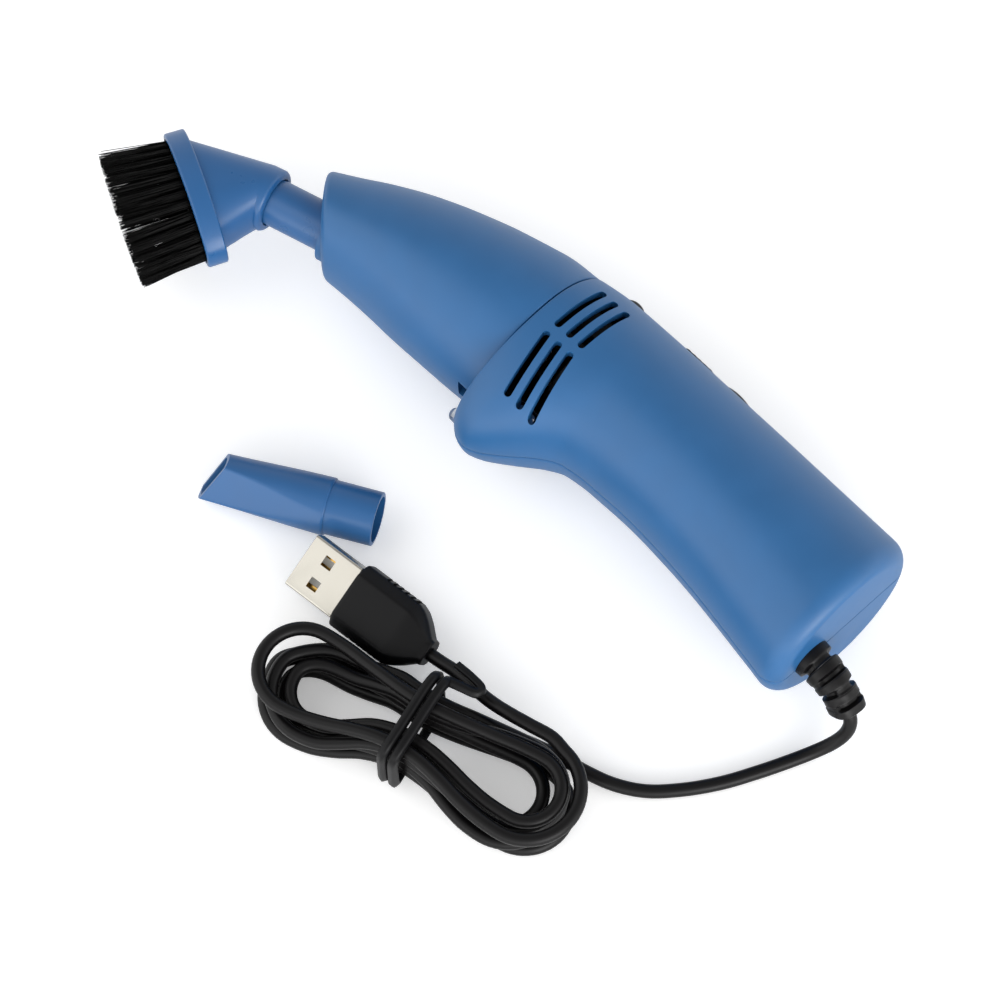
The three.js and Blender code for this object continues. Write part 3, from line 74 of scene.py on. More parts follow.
class Slot(Enum):
    """Material slots of the record."""

    BLUE = "blue_plastic"
    GLOSS_BLUE = "gloss_blue_plastic"
    BLACK = "black_plastic"
    RUBBER = "black_rubber"
    BRISTLE = "bristle_nylon"
    LENS = "clear_lens"
    STEEL = "steel"
    NICKEL = "nickel"
    BRASS = "brass"
    WHITE = "white_plastic"
    CLOTH = "grey_cloth"
    BOARD = "green_board"
    RED_WIRE = "red_wire"


class Body(Enum):
    """Bodies of the record that pieces ride on."""

    HANDLE = "body"
    COVER = "cover"
    SNOUT = "snout"
    BRUSH = "brush"
    FILTER = "filter"
    SWITCH = "switch"
    LOOSE_NOZZLE = "loose_nozzle"


class Cut(Enum):
    """Ways in which one solid changes another."""

    LESS = "DIFFERENCE"
    PLUS = "UNION"
    COMMON = "INTERSECT"


class Axis(Enum):
    """Axes that a flat outline is drawn out along."""

    Y = "Y"
    Z = "Z"


def linear(hex_colour: str) -> tuple[float, float, float, float]:
    """Turns an sRGB hex colour into linear light.

    Args:
        hex_colour: six hex digits, with or without a leading hash sign.

    Returns:
        Red, green, blue and alpha in linear light.
    """
    digits = hex_colour.lstrip("#")
    parts = [int(digits[i : i + 2], 16) / 255 for i in (0, 2, 4)]
    low, gain, offset, power = 0.04045, 12.92, 0.055, 2.4
    light = [p / gain if p <= low else ((p + offset) / (1 + offset)) ** power for p in parts]
    return (light[0], light[1], light[2], 1.0)


def add_node(tree: NodeTree, kind: str, inputs: Optional[dict] = None, **settings: object) -> Node:
    """Adds a node, sets its properties, and sets or links its inputs.

    Args:
        tree: the node tree that gets the node.
        kind: the node's type name.
        inputs: input name or number to a value or to another node's output socket.
        settings: properties of the node.

    Returns:
        The new node.
    """
    node = tree.nodes.new(kind)
    for name, value in settings.items():
        setattr(node, name, value)
    for key, value in (inputs or {}).items():
        socket = node.inputs[key]
        if isinstance(value, NodeSocket):
            tree.links.new(value, socket)
        else:
            socket.default_value = value
    return node


@dataclass(frozen=True)
class Finish:
    """One surface finish, made of procedural nodes in the object's own coordinates.

    Sizes are in millimetres. mottle is how far the colour drifts, grain how coarse the fine texture is,
    depth how deep it is, and stretch draws the grain out along one axis for scratches or weave.
    """

    slot: Slot
    colour: str
    roughness: float = 0.5
    metallic: float = 0.0
    mottle: float = 0.04
    mottle_size: float = 9.0
    grain: float = 0.25
    depth: float = 0.004
    stretch: Triple = (1.0, 1.0, 1.0)
    rough_spread: float = 0.06
    coat: float = 0.0
    sheen: float = 0.0
    clear: float = 0.0
    specular: float = 0.5

    def make(self) -> Material:
        """Builds the material, unless it is already there.

        Returns:
            The material of this finish.
        """
        known = bpy.data.materials.get(f"mat_{self.slot.value}")
        if known is not None:
            return known
        material = bpy.data.materials.new(f"mat_{self.slot.value}")
        material.use_nodes = True
        tree = material.node_tree
        tree.nodes.clear()
        place = add_node(tree, "ShaderNodeTexCoord").outputs["Object"]
        drawn = add_node(tree, "ShaderNodeMapping", {"Vector": place, "Scale": self.stretch}).outputs["Vector"]
        size = 1 / (self.mottle_size * MM)
        broad = add_node(tree, "ShaderNodeTexNoise", {"Vector": place, "Scale": size, "Detail": 3.0}).outputs["Fac"]
        size = 1 / (self.grain * MM)
        fine = add_node(tree, "ShaderNodeTexNoise", {"Vector": drawn, "Scale": size, "Detail": 2.0}).outputs["Fac"]
        drift = {"Value": broad, "From Min": NOISE_LOW, "From Max": NOISE_HIGH}
        tone = {**drift, "To Min": 1 - self.mottle, "To Max": 1 + self.mottle}
        shift = add_node(tree, "ShaderNodeMapRange", tone).outputs["Result"]
        colour = add_node(
            tree, "ShaderNodeHueSaturation", {"Color": linear(self.colour), "Value": shift}
        ).outputs["Color"]
        half = self.rough_spread / 2
        gloss = {**drift, "To Min": self.roughness - half, "To Max": self.roughness + half}
        rough = add_node(tree, "ShaderNodeMapRange", gloss).outputs["Result"]
        relief = add_node(
            tree, "ShaderNodeBump", {"Height": fine, "Strength": 0.5, "Distance": self.depth * MM}
        ).outputs["Normal"]
        shader = add_node(
            tree,
            "ShaderNodeBsdfPrincipled",
            {
                "Base Color": colour, "Roughness": rough, "Metallic": self.metallic, "Normal": relief,
                "Coat Weight": self.coat, "Sheen Weight": self.sheen, "Transmission Weight": self.clear,
                "Specular IOR Level": self.specular,
            },
        )
        add_node(tree, "ShaderNodeOutputMaterial", {"Surface": shader.outputs["BSDF"]})
        return material


FINISHES: dict[Slot, Finish] = {
    finish.slot: finish
    for finish in (
        # ABS from a spark-eroded mould: a soft, even sheen over a very fine grain.
        Finish(Slot.BLUE, "#225B8E", roughness=0.42, mottle=0.04, grain=0.22, depth=0.005),
        # ABS from a polished mould: narrow, clear highlights on the tube and the tools.
        Finish(Slot.GLOSS_BLUE, "#25598D", roughness=0.3, mottle=0.03, grain=0.3, depth=0.002),
        # Black ABS from a textured mould: nearly matt, with a weak highlight.
        Finish(Slot.BLACK, "#08080A", roughness=0.4, mottle=0.1, grain=0.3, depth=0.006, specular=0.2),
        # Soft PVC of the cord and its relief: smooth, with a broad dull highlight.
        Finish(Slot.RUBBER, "#070607", roughness=0.38, mottle=0.12, grain=0.4, depth=0.005, specular=0.25),
        # Drawn nylon strands: almost black, because the strands shade each other.
        Finish(Slot.BRISTLE, "#010101", roughness=0.4, mottle=0.2, mottle_size=2.0, grain=0.2, specular=0.08),
        # Clear polycarbonate dome: see-through, with a small hard highlight.
        Finish(Slot.LENS, "#F4F7FA", roughness=0.06, mottle=0.0, clear=0.92, depth=0.0005, rough_spread=0.02),
        # Zinc-plated and drawn steel: bright, with faint marks along its length.
        Finish(Slot.STEEL, "#B9BDC2", roughness=0.3, metallic=1.0, grain=0.2, stretch=(0.1, 1.0, 1.0)),
        # Nickel-plated sheet steel: warm and bright, with rolling marks along its length.
        Finish(Slot.NICKEL, "#C4C0B6", roughness=0.24, metallic=1.0, grain=0.15, stretch=(0.08, 1.0, 1.0)),
        # Turned and stamped brass: yellow metal with a soft shine.
        Finish(Slot.BRASS, "#CDA55A", roughness=0.25, metallic=1.0, grain=0.2),
        # White moulded ABS: plain and slightly glossy.
        Finish(Slot.WHITE, "#E6E6E2", roughness=0.4, mottle=0.02, grain=0.3),
        # Non-woven filter cloth: matt and fuzzy at its edges.
        Finish(Slot.CLOTH, "#9CA2A8", roughness=0.9, sheen=0.4, grain=0.35, depth=0.06, mottle=0.08),
        # Lacquered circuit board: green under a thin clear coat.
        Finish(Slot.BOARD, "#245F3B", roughness=0.35, mottle=0.06, grain=0.5, coat=0.3),
        # PVC insulation of the leads: plain red with a dull shine.
        Finish(Slot.RED_WIRE, "#A81E22", roughness=0.4, mottle=0.05),
    )
}

# Frames of the handle, of the cover with all that is pushed on it, and of the desk
HANDLE_FRAME = Matrix.Rotation(-HANDLE_BEND, 4, "Z")
NOZZLE_FRAME = Matrix.Translation((FRONT_X * math.cos(HANDLE_BEND), -FRONT_X * math.sin(HANDLE_BEND), 0))
DESK_FRAME = Matrix.Identity(4)


def lerp(start: Number, end: Number, share: Number) -> Number:
    """The value at a share of the way from start to end."""
    return start + (end - start) * share


def smoothstep(low: Number, high: Number, value: Number) -> Number:
    """A smooth rise from 0 at low to 1 at high."""
    share = min(1.0, max(0.0, (value - low) / (high - low)))
    return share * share * (3 - 2 * share)


def signed_power(value: Number, power: Number) -> Number:
    """A power that keeps the sign of its value."""
    return math.copysign(abs(value) ** power, value)


class Profile:
    """A table of rows that is read smoothly between its stops, without overshoot."""

    def __init__(self, rows: Sequence[Sequence[Number]], sizes: Sequence[Number]) -> None:
        """Scales a table of shares to sizes.

        Args:
            rows: shares, the first column being the place along the table.
            sizes: what each column is multiplied by.
        """
        scaled = [[share * size for share, size in zip(row, sizes)] for row in rows]
        self.stops = [row[0] for row in scaled]
        self.values = [row[1:] for row in scaled]
        self.slopes = [self._slopes(column) for column in range(len(sizes) - 1)]

    def _slopes(self, column: int) -> list[Number]:
        """The slope of one column at each stop, 0 where the column turns back.

        Args:
            column: which column.

        Returns:
            One slope for each stop.
        """
        steps = list(zip(self.stops, self.stops[1:]))
        widths = [b - a for a, b in steps]
        rises = [
            (after[column] - before[column]) / width
            for before, after, width in zip(self.values, self.values[1:], widths)
        ]
        slopes = [rises[0]]
        for left, right in zip(rises, rises[1:]):
            slopes.append(0.0 if left * right <= 0 else 2 * left * right / (left + right))
        slopes.append(rises[-1])
        return slopes

    def at(self, along: Number) -> list[Number]:
        """The columns' values at a place along the table.

        Args:
            along: the place, held within the table's ends.

        Returns:
            One value for each column after the first.
        """
        along = min(max(along, self.stops[0]), self.stops[-1])
        k = max(0, min(len(self.stops) - 2, sum(1 for stop in self.stops if stop <= along) - 1))
        width = self.stops[k + 1] - self.stops[k]
        t = (along - self.stops[k]) / width
        out = []
        for column in range(len(self.values[0])):
            a, b = self.values[k][column], self.values[k + 1][column]
            da, db = self.slopes[column][k] * width, self.slopes[column][k + 1] * width
            out.append(
                a * (1 + 2 * t) * (1 - t) ** 2 + da * t * (1 - t) ** 2 + b * t * t * (3 - 2 * t) + db * t * t * (t - 1)
            )
        return out


def spread_stops(start: Number, end: Number, count: int) -> list[Number]:
    """Equal steps from start to end, with both ends."""
    return [lerp(start, end, k / (count - 1)) for k in range(count)]


def rounded_end(start: Number, end: Number, radius: Number, steps: int) -> Stops:
    """Places and shrinkage over a rounded end.

    Args:
        start: the side that the end is reached from.
        end: where the piece ends.
        radius: the rounding's radius.
        steps: how many steps the quarter circle has.

    Returns:
        Pairs of a place and how much the section has shrunk there.
    """
    way = math.copysign(1, end - start)
    pairs = []
    for k in range(1, steps + 1):
        angle = k / steps * math.pi / 2
        pairs.append((end - way * radius * (1 - math.sin(angle)), radius * (1 - math.cos(angle))))
    return pairs


def rounded_start(start: Number, radius: Number, steps: int) -> Stops:
    """Places and shrinkage over a rounded start, as rounded_end gives them for an end."""
    return [(start + radius - x, less) for x, less in reversed(rounded_end(0, radius, radius, steps))]


def egg_ring(
    centre: Vector, across: Vector, top: Number, belly: Number, half: Number, sides: int, power: Number = 2.0
) -> Ring:
    """A closed section with its own reach to the top, to the belly and to each side.

    Args:
        centre: middle of the section.
        across: unit vector to the belly side.
        top: reach away from the belly.
        belly: reach to the belly.
        half: reach up and down.
        sides: how many points.
        power: 2 for an ellipse, more for squarer corners.

    Returns:
        The section's points.
    """
    ring = []
    for k in range(sides):
        angle = 2 * math.pi * k / sides
        reach = signed_power(math.cos(angle), 2 / power)
        height = signed_power(math.sin(angle), 2 / power)
        point = centre + across * (reach * (belly if reach > 0 else top))
        point.z += half * height
        ring.append(point)
    return ring


def round_ring(centre: Vector, side: Vector, up: Vector, radius: Number, sides: int) -> Ring:
    """A circle of points in the plane of two unit vectors."""
    turn = 2 * math.pi / sides
    return [centre + side * (radius * math.cos(k * turn)) + up * (radius * math.sin(k * turn)) for k in range(sides)]


def circle(radius: Number, sides: int) -> Outline:
    """A circle round the origin, as flat points."""
    turn = 2 * math.pi / sides
    return [(radius * math.cos(k * turn), radius * math.sin(k * turn)) for k in range(sides)]


def corner_arc(cx: Number, cy: Number, radius: Number, start: Number, steps: int) -> Outline:
    """A quarter circle from an angle, as flat points."""
    angles = [start + k / steps * math.pi / 2 for k in range(steps + 1)]
    return [(cx + radius * math.cos(angle), cy + radius * math.sin(angle)) for angle in angles]


def rounded_rectangle(half_width: Number, half_height: Number, radius: Number, steps: int = 5) -> Outline:
    """A rectangle with rounded corners, as flat points.

    Args:
        half_width: half of its first size.
        half_height: half of its second size.
        radius: the corners' radius.
        steps: how many steps each corner has.

    Returns:
        Its points, anticlockwise.
    """
    w, h = half_width - radius, half_height - radius
    points: Outline = []
    for quarter, (cx, cy) in enumerate([(w, h), (-w, h), (-w, -h), (w, -h)]):
        points += corner_arc(cx, cy, radius, quarter * math.pi / 2, steps)
    return points


def capsule_outline(half_length: Number, half_width: Number, steps: int = 16) -> Outline:
    """A slot outline with round ends, as flat points.

    Args:
        half_length: half of its length over the ends.
        half_width: half of its width.
        steps: how many steps each round end has.

    Returns:
        Its points, anticlockwise.
    """
    reach = half_length - half_width
    points = []
    for way in (1, -1):
        for k in range(steps + 1):
            angle = -way * math.pi / 2 + k / steps * math.pi
            points.append((way * reach + half_width * math.cos(angle), half_width * math.sin(angle)))
    return points


def new_object(name: str, data: ID) -> Object:
    """Makes an object of some data and links it to the scene.

    Args:
        name: the object's name.
        data: its mesh, curve, camera or light.

    Returns:
        The new object.
    """
    item = bpy.data.objects.new(name, data)
    bpy.context.scene.collection.objects.link(item)
    return item


class Draft:
    """Points and faces of a solid in millimetres, before they become a mesh."""

    def __init__(self) -> None:
        """Starts with no points and no faces."""
        self.points: list[Vector] = []
        self.faces: list[tuple[int, ...]] = []

    def loft(self, rings: Sequence[Ring], caps: bool = True, loop: bool = False) -> "Draft":
        """Adds a skin through sections of the same number of points.

        Args:
            rings: the sections in order.
            caps: whether the ends are closed with flat faces.
            loop: whether the last section joins the first.

        Returns:
            This draft.
        """
        base = len(self.points)
        count = len(rings[0])
        for ring in rings:
            self.points.extend(point.copy() for point in ring)
        last = len(rings) if loop else len(rings) - 1
        for r in range(last):
            here, there = base + r * count, base + (r + 1) % len(rings) * count
            for k in range(count):
                n = (k + 1) % count
                self.faces.append((here + k, here + n, there + n, there + k))
        if caps and not loop:
            self.faces.append(tuple(base + k for k in reversed(range(count))))
            end = base + (len(rings) - 1) * count
            self.faces.append(tuple(end + k for k in range(count)))
        return self

    def lathe(self, outline: Outline, rise: Number = 0.0, sides: int = 64) -> "Draft":
        """Adds a closed outline of (along, radius) turned about an axis that runs in X at the axis's height.

        Args:
            outline: the closed outline, never on the axis unless it starts and ends there.
            rise: the axis's place in Y.
            sides: how many sides the turning has.

        Returns:
            This draft.
        """
        rings = []
        for x, radius in outline:
            centre = Vector((x, rise, AXIS_HEIGHT))
            rings.append(round_ring(centre, Vector((0, 1, 0)), Vector((0, 0, 1)), max(radius, 0.001), sides))
        return self.loft(rings, caps=False, loop=True)

    def bar(self, start: Number, end: Number, radius: Number, rise: Number = 0.0, sides: int = 64) -> "Draft":
        """Adds a round bar along X."""
        return self.lathe([(start, 0), (start, radius), (end, radius), (end, 0)], rise, sides)

    def prism(self, outline: Outline, low: Number, high: Number, axis: Axis = Axis.Z) -> "Draft":
        """Adds a straight prism of a flat outline.

        Args:
            outline: its flat points, in XY for a prism along Z and in XZ for one along Y.
            low: where it starts along its axis.
            high: where it ends.
            axis: the axis that it runs along.

        Returns:
            This draft.
        """
        rings = []
        for level in (low, high):
            rings.append([Vector((a, b, level) if axis is Axis.Z else (a, level, b)) for a, b in outline])
        return self.loft(rings)

    def block(self, low: Sequence[Number], high: Sequence[Number], radius: Number = 0.2, steps: int = 3) -> "Draft":
        """Adds a block with rounded edges.

        Args:
            low: its lowest corner.
            high: its highest corner.
            radius: the edges' radius.
            steps: how many steps each rounding has.

        Returns:
            This draft.
        """
        (x0, y0, z0), (x1, y1, z1) = low, high
        cy, cz = (y0 + y1) / 2, (z0 + z1) / 2
        half_y, half_z = (y1 - y0) / 2, (z1 - z0) / 2
        ends = rounded_end(x0, x1, radius, steps)
        starts = [(x0 + x1 - x, less) for x, less in ends]
        rings = []
        for x, less in list(reversed(starts)) + ends:
            outline = rounded_rectangle(half_y - less, half_z - less, max(radius - less, radius / 8), steps)
            rings.append([Vector((x, cy + a, cz + b)) for a, b in outline])
        return self.loft(rings)

    def solid(self, name: str, place: Matrix = DESK_FRAME) -> Object:
        """Makes an object with outward faces from this draft.

        Args:
            name: the object's name.
            place: the frame that the draft's points are in.

        Returns:
            The new object, at the origin and unturned, in metres.
        """
        mesh = bpy.data.meshes.new(name)
        mesh.from_pydata([tuple((place @ point) * MM) for point in self.points], [], self.faces)
        mesh.validate()
        item = new_object(name, mesh)
        if enclosed_volume(mesh) < 0:
            mesh.flip_normals()
        return item


def enclosed_volume(mesh: Mesh) -> float:
    """Finds the signed volume of a closed mesh.

    Args:
        mesh: the mesh.

    Returns:
        Its volume in cubic metres, below zero where its faces point inwards.
    """
    mesh.calc_loop_triangles()
    total = 0.0
    for triangle in mesh.loop_triangles:
        a, b, c = (mesh.vertices[i].co for i in triangle.vertices)
        total += a.dot(b.cross(c)) / 6
    return total


def settle(item: Object, step: Modifier) -> None:
    """Puts a modifier's result in the object's own mesh and removes the modifier.

    Args:
        item: the object.
        step: its modifier.
    """
    result = bpy.data.meshes.new_from_object(item.evaluated_get(bpy.context.evaluated_depsgraph_get()))
    item.modifiers.remove(step)
    before = item.data
    item.data = result
    bpy.data.meshes.remove(before)


def combine(target: Object, other: Object, cut: Cut = Cut.LESS) -> Object:
    """Cuts, joins or intersects a solid with another one, which is used up.

    Args:
        target: the solid that changes.
        other: the solid that it meets.
        cut: how they combine.

    Returns:
        The changed solid.
    """
    step = target.modifiers.new("combine", "BOOLEAN")
    step.operation = cut.value
    step.solver = "EXACT"
    step.object = other
    settle(target, step)
    used = other.data
    bpy.data.objects.remove(other)
    bpy.data.meshes.remove(used)
    return target


def merge(name: str, parts: Sequence[Object]) -> Object:
    """Puts the meshes of several objects into the first one.

    Args:
        name: the first object's new name.
        parts: the objects, of which only the first stays.

    Returns:
        The first object.
    """
    first = parts[0]
    points: list[Triple] = []
    faces: list[tuple[int, ...]] = []
    for part in parts:
        base = len(points)
        points += [tuple(vertex.co) for vertex in part.data.vertices]
        faces += [tuple(base + i for i in polygon.vertices) for polygon in part.data.polygons]
    mesh = bpy.data.meshes.new(name)
    mesh.from_pydata(points, [], faces)
    for part in parts:
        used = part.data
        if part is not first:
            bpy.data.objects.remove(part)
        else:
            part.data = mesh
        bpy.data.meshes.remove(used)
    first.name = name
    return first


def dress(
    item: Object, slot: Slot, body: Body, nodes: Iterable[str] = (), sharp: Number = 34 * DEGREE
) -> Object:
    """Gives a piece its finish and shading, and ties it to its body and to the solids that it stands for.

    Args:
        item: the piece.
        slot: the finish.
        body: the body that it rides on.
        nodes: the solids that it replaces.
        sharp: edges that turn more than this stay sharp.

    Returns:
        The piece.
    """
    item.data.materials.clear()
    item.data.materials.append(FINISHES[slot].make())
    if isinstance(item.data, Mesh):
        item.data.polygons.foreach_set("use_smooth", [True] * len(item.data.polygons))
        item.data.set_sharp_from_angle(angle=sharp)
        item.data.update()
    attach(item, body.value)
    names = list(nodes)
    if names:
        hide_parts(*names)
    log.info("%s rides on %s, in place of %s", item.name, body.value, ", ".join(names) or "nothing")
    return item


@dataclass(frozen=True)
class ScrewPlace:
    """Where a screw stands in the handle, with the sizes of its boss and its well."""

    back: Number
    rise: Number
    lift: Number
    boss: Number = 3.2
    boss_height: Number = 9
    well: Number = 2.6

    def column(self, name: str, radius: Number, low: Number, high: Number, sides: int = 32) -> Object:
        """A round column on the screw's axis."""
        outline = [(FRONT_X - self.back + a, self.rise + b) for a, b in circle(radius, sides)]
        return Draft().prism(outline, low, high).solid(name, HANDLE_FRAME)


SCREW_PLACES = (
    ScrewPlace(11.2, 21.0, 8.0, boss=4.4, boss_height=11, well=2.25),
    ScrewPlace(HANDLE_LENGTH * 0.545, -11.8, 4.0),
    ScrewPlace(HANDLE_LENGTH - 7.6, -9.5, 2.5),
    ScrewPlace(HANDLE_LENGTH - 11.6, 10.0, 2.5),
)


@dataclass
class Housing:
    """The two handle halves, with vents, wells, recesses and the collar for the cover."""

    top: Number = 18
    belly: Number = 16
    half: Number = 17.7
    hump: Number = 12.8
    wall: Number = 1.8
    front_wall: Number = 2
    rear_radius: Number = 4.5
    lip: Number = 0.35
    edge: Number = 0.4
    vent_count: int = 3
    vent_width: Number = 1.7
    vent_pitch: Number = 3.3
    vent_front: Number = 4.9
    vent_slant: Number = 10 * DEGREE
    vent_run: Number = 12.8
    vent_drift: Number = 0.5
    vent_step: Number = 0.1
    vent_bank: Pair = (-9.9, 2.2)
    belly_bank_end: Number = 18.4
    belly_bank_upper: Number = 5.6
    belly_bank_lower: Number = 9.4
    cheek_low: Number = 9.0
    cheek_high: Number = 26.0
    collar_length: Number = 6.5
    collar_root: Number = -1.0
    collar_wall: Number = 1.5
    collar_edge: Number = 0.4
    opening: Pair = (-6, 4)
    opening_inset: Number = 3.5
    lamp_hole: Number = 1.8
    gland_hole: Number = 3.5
    recess: Pair = (18.4, 4.5)
    recess_floor: Number = -16.9
    knob_slot: Pair = (-2, 6)
    knob_slot_half: Number = 1.7
    knob_slot_floor: Number = -13
    pilot: Number = 1.45
    pilot_depth: Number = 7.5
    well_height: Number = 3.8
    rows: list[list[Number]] = field(
        default_factory=lambda: [
            [0, 0.9, 1, 0.8, 0.975], [0.035, 0.933, 1, 0.96, 0.975], [0.064, 0.956, 1, 1, 0.98],
            [0.098, 0.972, 1, 0.92, 0.985], [0.133, 0.978, 1, 0.75, 0.995], [0.168, 0.983, 1, 0.55, 1],
            [0.214, 0.989, 1, 0.28, 1], [0.26, 0.994, 1, 0.1, 1], [0.341, 1, 1, 0.02, 1], [0.462, 1, 0.99, 0, 1],
            [0.601, 1.005, 1.025, 0, 1], [0.901, 1.005, 1.23, 0, 1], [1, 1.005, 1.32, 0, 1],
        ]
    )

    def __post_init__(self) -> None:
        """Reads the outline's table once."""
        self.profile = Profile(self.rows, [HANDLE_LENGTH, self.top, self.belly, self.hump, self.half])

    def stations(self, inset: Number, start: Number, count: int) -> Stops:
        """Places from start along the handle, and the shrinkage of its section over the rounded rear."""
        rear, end = self.rear_radius - inset, HANDLE_LENGTH - inset
        return [(along, 0.0) for along in spread_stops(start, end - rear, count)] + rounded_end(start, end, rear, 10)

    def section(self, along: Number, less: Number, shrink: Number) -> Triple:
        """Reach to the top, to the belly and to the sides at a place along the handle."""
        top, belly, hump, half = self.profile.at(along)
        return top - less - shrink, belly + hump - less - shrink, half - less - shrink * 0.6

    def half_ring(self, along: Number, shrink: Number, side: int) -> Ring:
        """One half of the section with a rounded lip at the parting plane.

        Args:
            along: distance behind the front plane.
            shrink: how far the section has shrunk.
            side: 1 for the upper half, -1 for the lower.

        Returns:
            The half section's points, from the belly over the cheek to the top.
        """
        top, belly, half = self.section(along, 0, shrink)
        lips = [0.0, 0.05, 0.12, 0.22, self.lip]
        starts = [math.asin((PARTING_GAP / 2 + d) / half) for d in lips]
        middle = spread_stops(starts[-1], math.pi - starts[-1], 62)[1:-1]
        angles = starts + middle + [math.pi - angle for angle in reversed(starts)]
        ring = []
        for angle in angles:
            height = half * math.sin(angle)
            inside = max(0.0, self.lip - (height - PARTING_GAP / 2))
            less = self.lip - math.sqrt(max(0.0, self.lip**2 - inside**2))
            cosine = math.cos(angle)
            reach = cosine * (belly if cosine > 0 else top)
            reach -= math.copysign(less, cosine)
            z = AXIS_HEIGHT + side * height
            ring.append(Vector((FRONT_X - along, reach, max(z, 0.0))))
        return ring

    def cavity(self) -> Object:
        """The hollow inside.

        Returns:
            Its solid, with the screw bosses left standing.
        """
        rings = []
        for along, shrink in self.stations(self.wall, self.front_wall, 40):
            top, belly, half = self.section(along, self.wall, shrink)
            centre = Vector((FRONT_X - along, 0, AXIS_HEIGHT))
            rings.append(egg_ring(centre, Vector((0, 1, 0)), top, belly, half, 64))
        hollow = Draft().loft(rings).solid("cavity", HANDLE_FRAME)
        for screw in SCREW_PLACES:
            combine(hollow, screw.column("boss", screw.boss, -OVERRUN, AXIS_HEIGHT + screw.boss_height))
        return hollow

    def vents(self, side: int) -> list[Object]:
        """The cutters for the six slots in one cheek.

        Args:
            side: 1 for the upper half, -1 for the lower, whose belly bank starts later, so that the slots stay dark.

        Returns:
            One cutter for each slot.
        """
        low, high = (self.cheek_high, 2 * AXIS_HEIGHT + OVERRUN) if side > 0 else (-OVERRUN, self.cheek_low)
        lean = math.tan(self.vent_slant) * self.vent_run
        start = self.belly_bank_upper if side > 0 else self.belly_bank_lower
        cutters = []
        for k in range(self.vent_count):
            x = FRONT_X - self.vent_front - k * self.vent_pitch
            end = (x - lean - self.vent_drift, self.belly_bank_end - k * self.vent_step)
            for (ax, ay), (bx, by) in (((x, self.vent_bank[0]), (x, self.vent_bank[1])), ((x, start), end)):
                turn = math.atan2(by - ay, bx - ax)
                reach = math.hypot(bx - ax, by - ay) / 2 + self.vent_width / 2
                outline = []
                for a, b in capsule_outline(reach, self.vent_width / 2, 10):
                    px = (ax + bx) / 2 + a * math.cos(turn) - b * math.sin(turn)
                    py = (ay + by) / 2 + a * math.sin(turn) + b * math.cos(turn)
                    outline.append((px, py))
                cutters.append(Draft().prism(outline, low, high).solid("vent", HANDLE_FRAME))
        return cutters

    def collar(self, side: int, cover: "Cover") -> Object:
        """One half of the drafted ring that the front cover is pushed on.

        Args:
            side: 1 for the upper half, -1 for the lower.
            cover: the front cover, whose rim shapes the ring.

        Returns:
            The half ring, with its share of the notch.
        """
        root, tip = self.collar_root, self.collar_length
        outer = cover.wall + TOUCH_GAP
        inner = outer + self.collar_wall
        rings = [
            cover.rim_ring(root, outer, 0),
            cover.rim_ring(tip - self.collar_edge, outer, 1),
            cover.rim_ring(tip, outer + self.collar_edge, 1),
            cover.rim_ring(tip, outer + 1.2, 1),
            cover.rim_ring(tip - 0.3, inner, 1),
            cover.rim_ring(root, inner, 0),
        ]
        ring = combine(Draft().loft(rings, loop=True).solid("collar", NOZZLE_FRAME), cover.notch())
        reach = 200
        low = AXIS_HEIGHT + PARTING_GAP / 2 if side > 0 else -1
        high = reach if side > 0 else AXIS_HEIGHT - PARTING_GAP / 2
        space = Draft().block((-reach, -reach, low), (reach, reach, high), 0.01, 1).solid("space")
        return combine(ring, space, Cut.COMMON)

    def openings(self, side: int, cover: "Cover") -> list[Object]:
        """The cutters for everything that passes through one half's wall, apart from the screws.

        Args:
            side: 1 for the upper half, -1 for the lower.
            cover: the front cover, whose rim shapes the opening behind it.

        Returns:
            The cutters in the order of their use.
        """
        rims = [cover.rim_ring(x, cover.wall + TOUCH_GAP + self.opening_inset, 0) for x in self.opening]
        lamp = Draft().bar(FRONT_X - 8, FRONT_X + OVERRUN, self.lamp_hole, Lamp.rise)
        gland = Draft().bar(REAR_X - OVERRUN, REAR_X + 5, self.gland_hole, Gland.rise)
        outline = [(FRONT_X - SwitchPlate.centre + a, AXIS_HEIGHT + b) for a, b in capsule_outline(*self.recess)]
        x, half = FRONT_X - SwitchPlate.knob_centre, self.knob_slot_half
        rear, front = x + self.knob_slot[0], x + self.knob_slot[1]
        low, high = (rear, OVER_TOP, AXIS_HEIGHT - half), (front, self.knob_slot_floor, AXIS_HEIGHT + half)
        return [
            Draft().loft(rims).solid("opening", NOZZLE_FRAME),
            *self.vents(side),
            lamp.solid("lamp_hole", HANDLE_FRAME),
            gland.solid("gland_hole", HANDLE_FRAME),
            Draft().prism(outline, OVER_TOP, self.recess_floor, Axis.Y).solid("recess", HANDLE_FRAME),
            Draft().block(low, high, 0.2).solid("slot", HANDLE_FRAME),
        ]

    def half_shell(self, side: int, cover: "Cover", name: str) -> Object:
        """One handle half.

        Args:
            side: 1 for the upper half, -1 for the lower.
            cover: the front cover, whose rim shapes the collar and the opening behind it.
            name: the piece's name.

        Returns:
            The finished solid.
        """
        places = rounded_start(0, self.edge, 4) + self.stations(0, self.edge, 84)
        shell = Draft().loft([self.half_ring(along, less, side) for along, less in places]).solid(name, HANDLE_FRAME)
        combine(shell, self.cavity())
        for cutter in self.openings(side, cover):
            combine(shell, cutter)
        for screw in SCREW_PLACES:
            combine(shell, screw.column("pilot", self.pilot, screw.lift, AXIS_HEIGHT + self.pilot_depth, 24))
        if side < 0:
            for screw in SCREW_PLACES:
                combine(shell, screw.column("well", screw.well, -OVERRUN, screw.lift + self.well_height))
        return merge(name, [shell, self.collar(side, cover)])

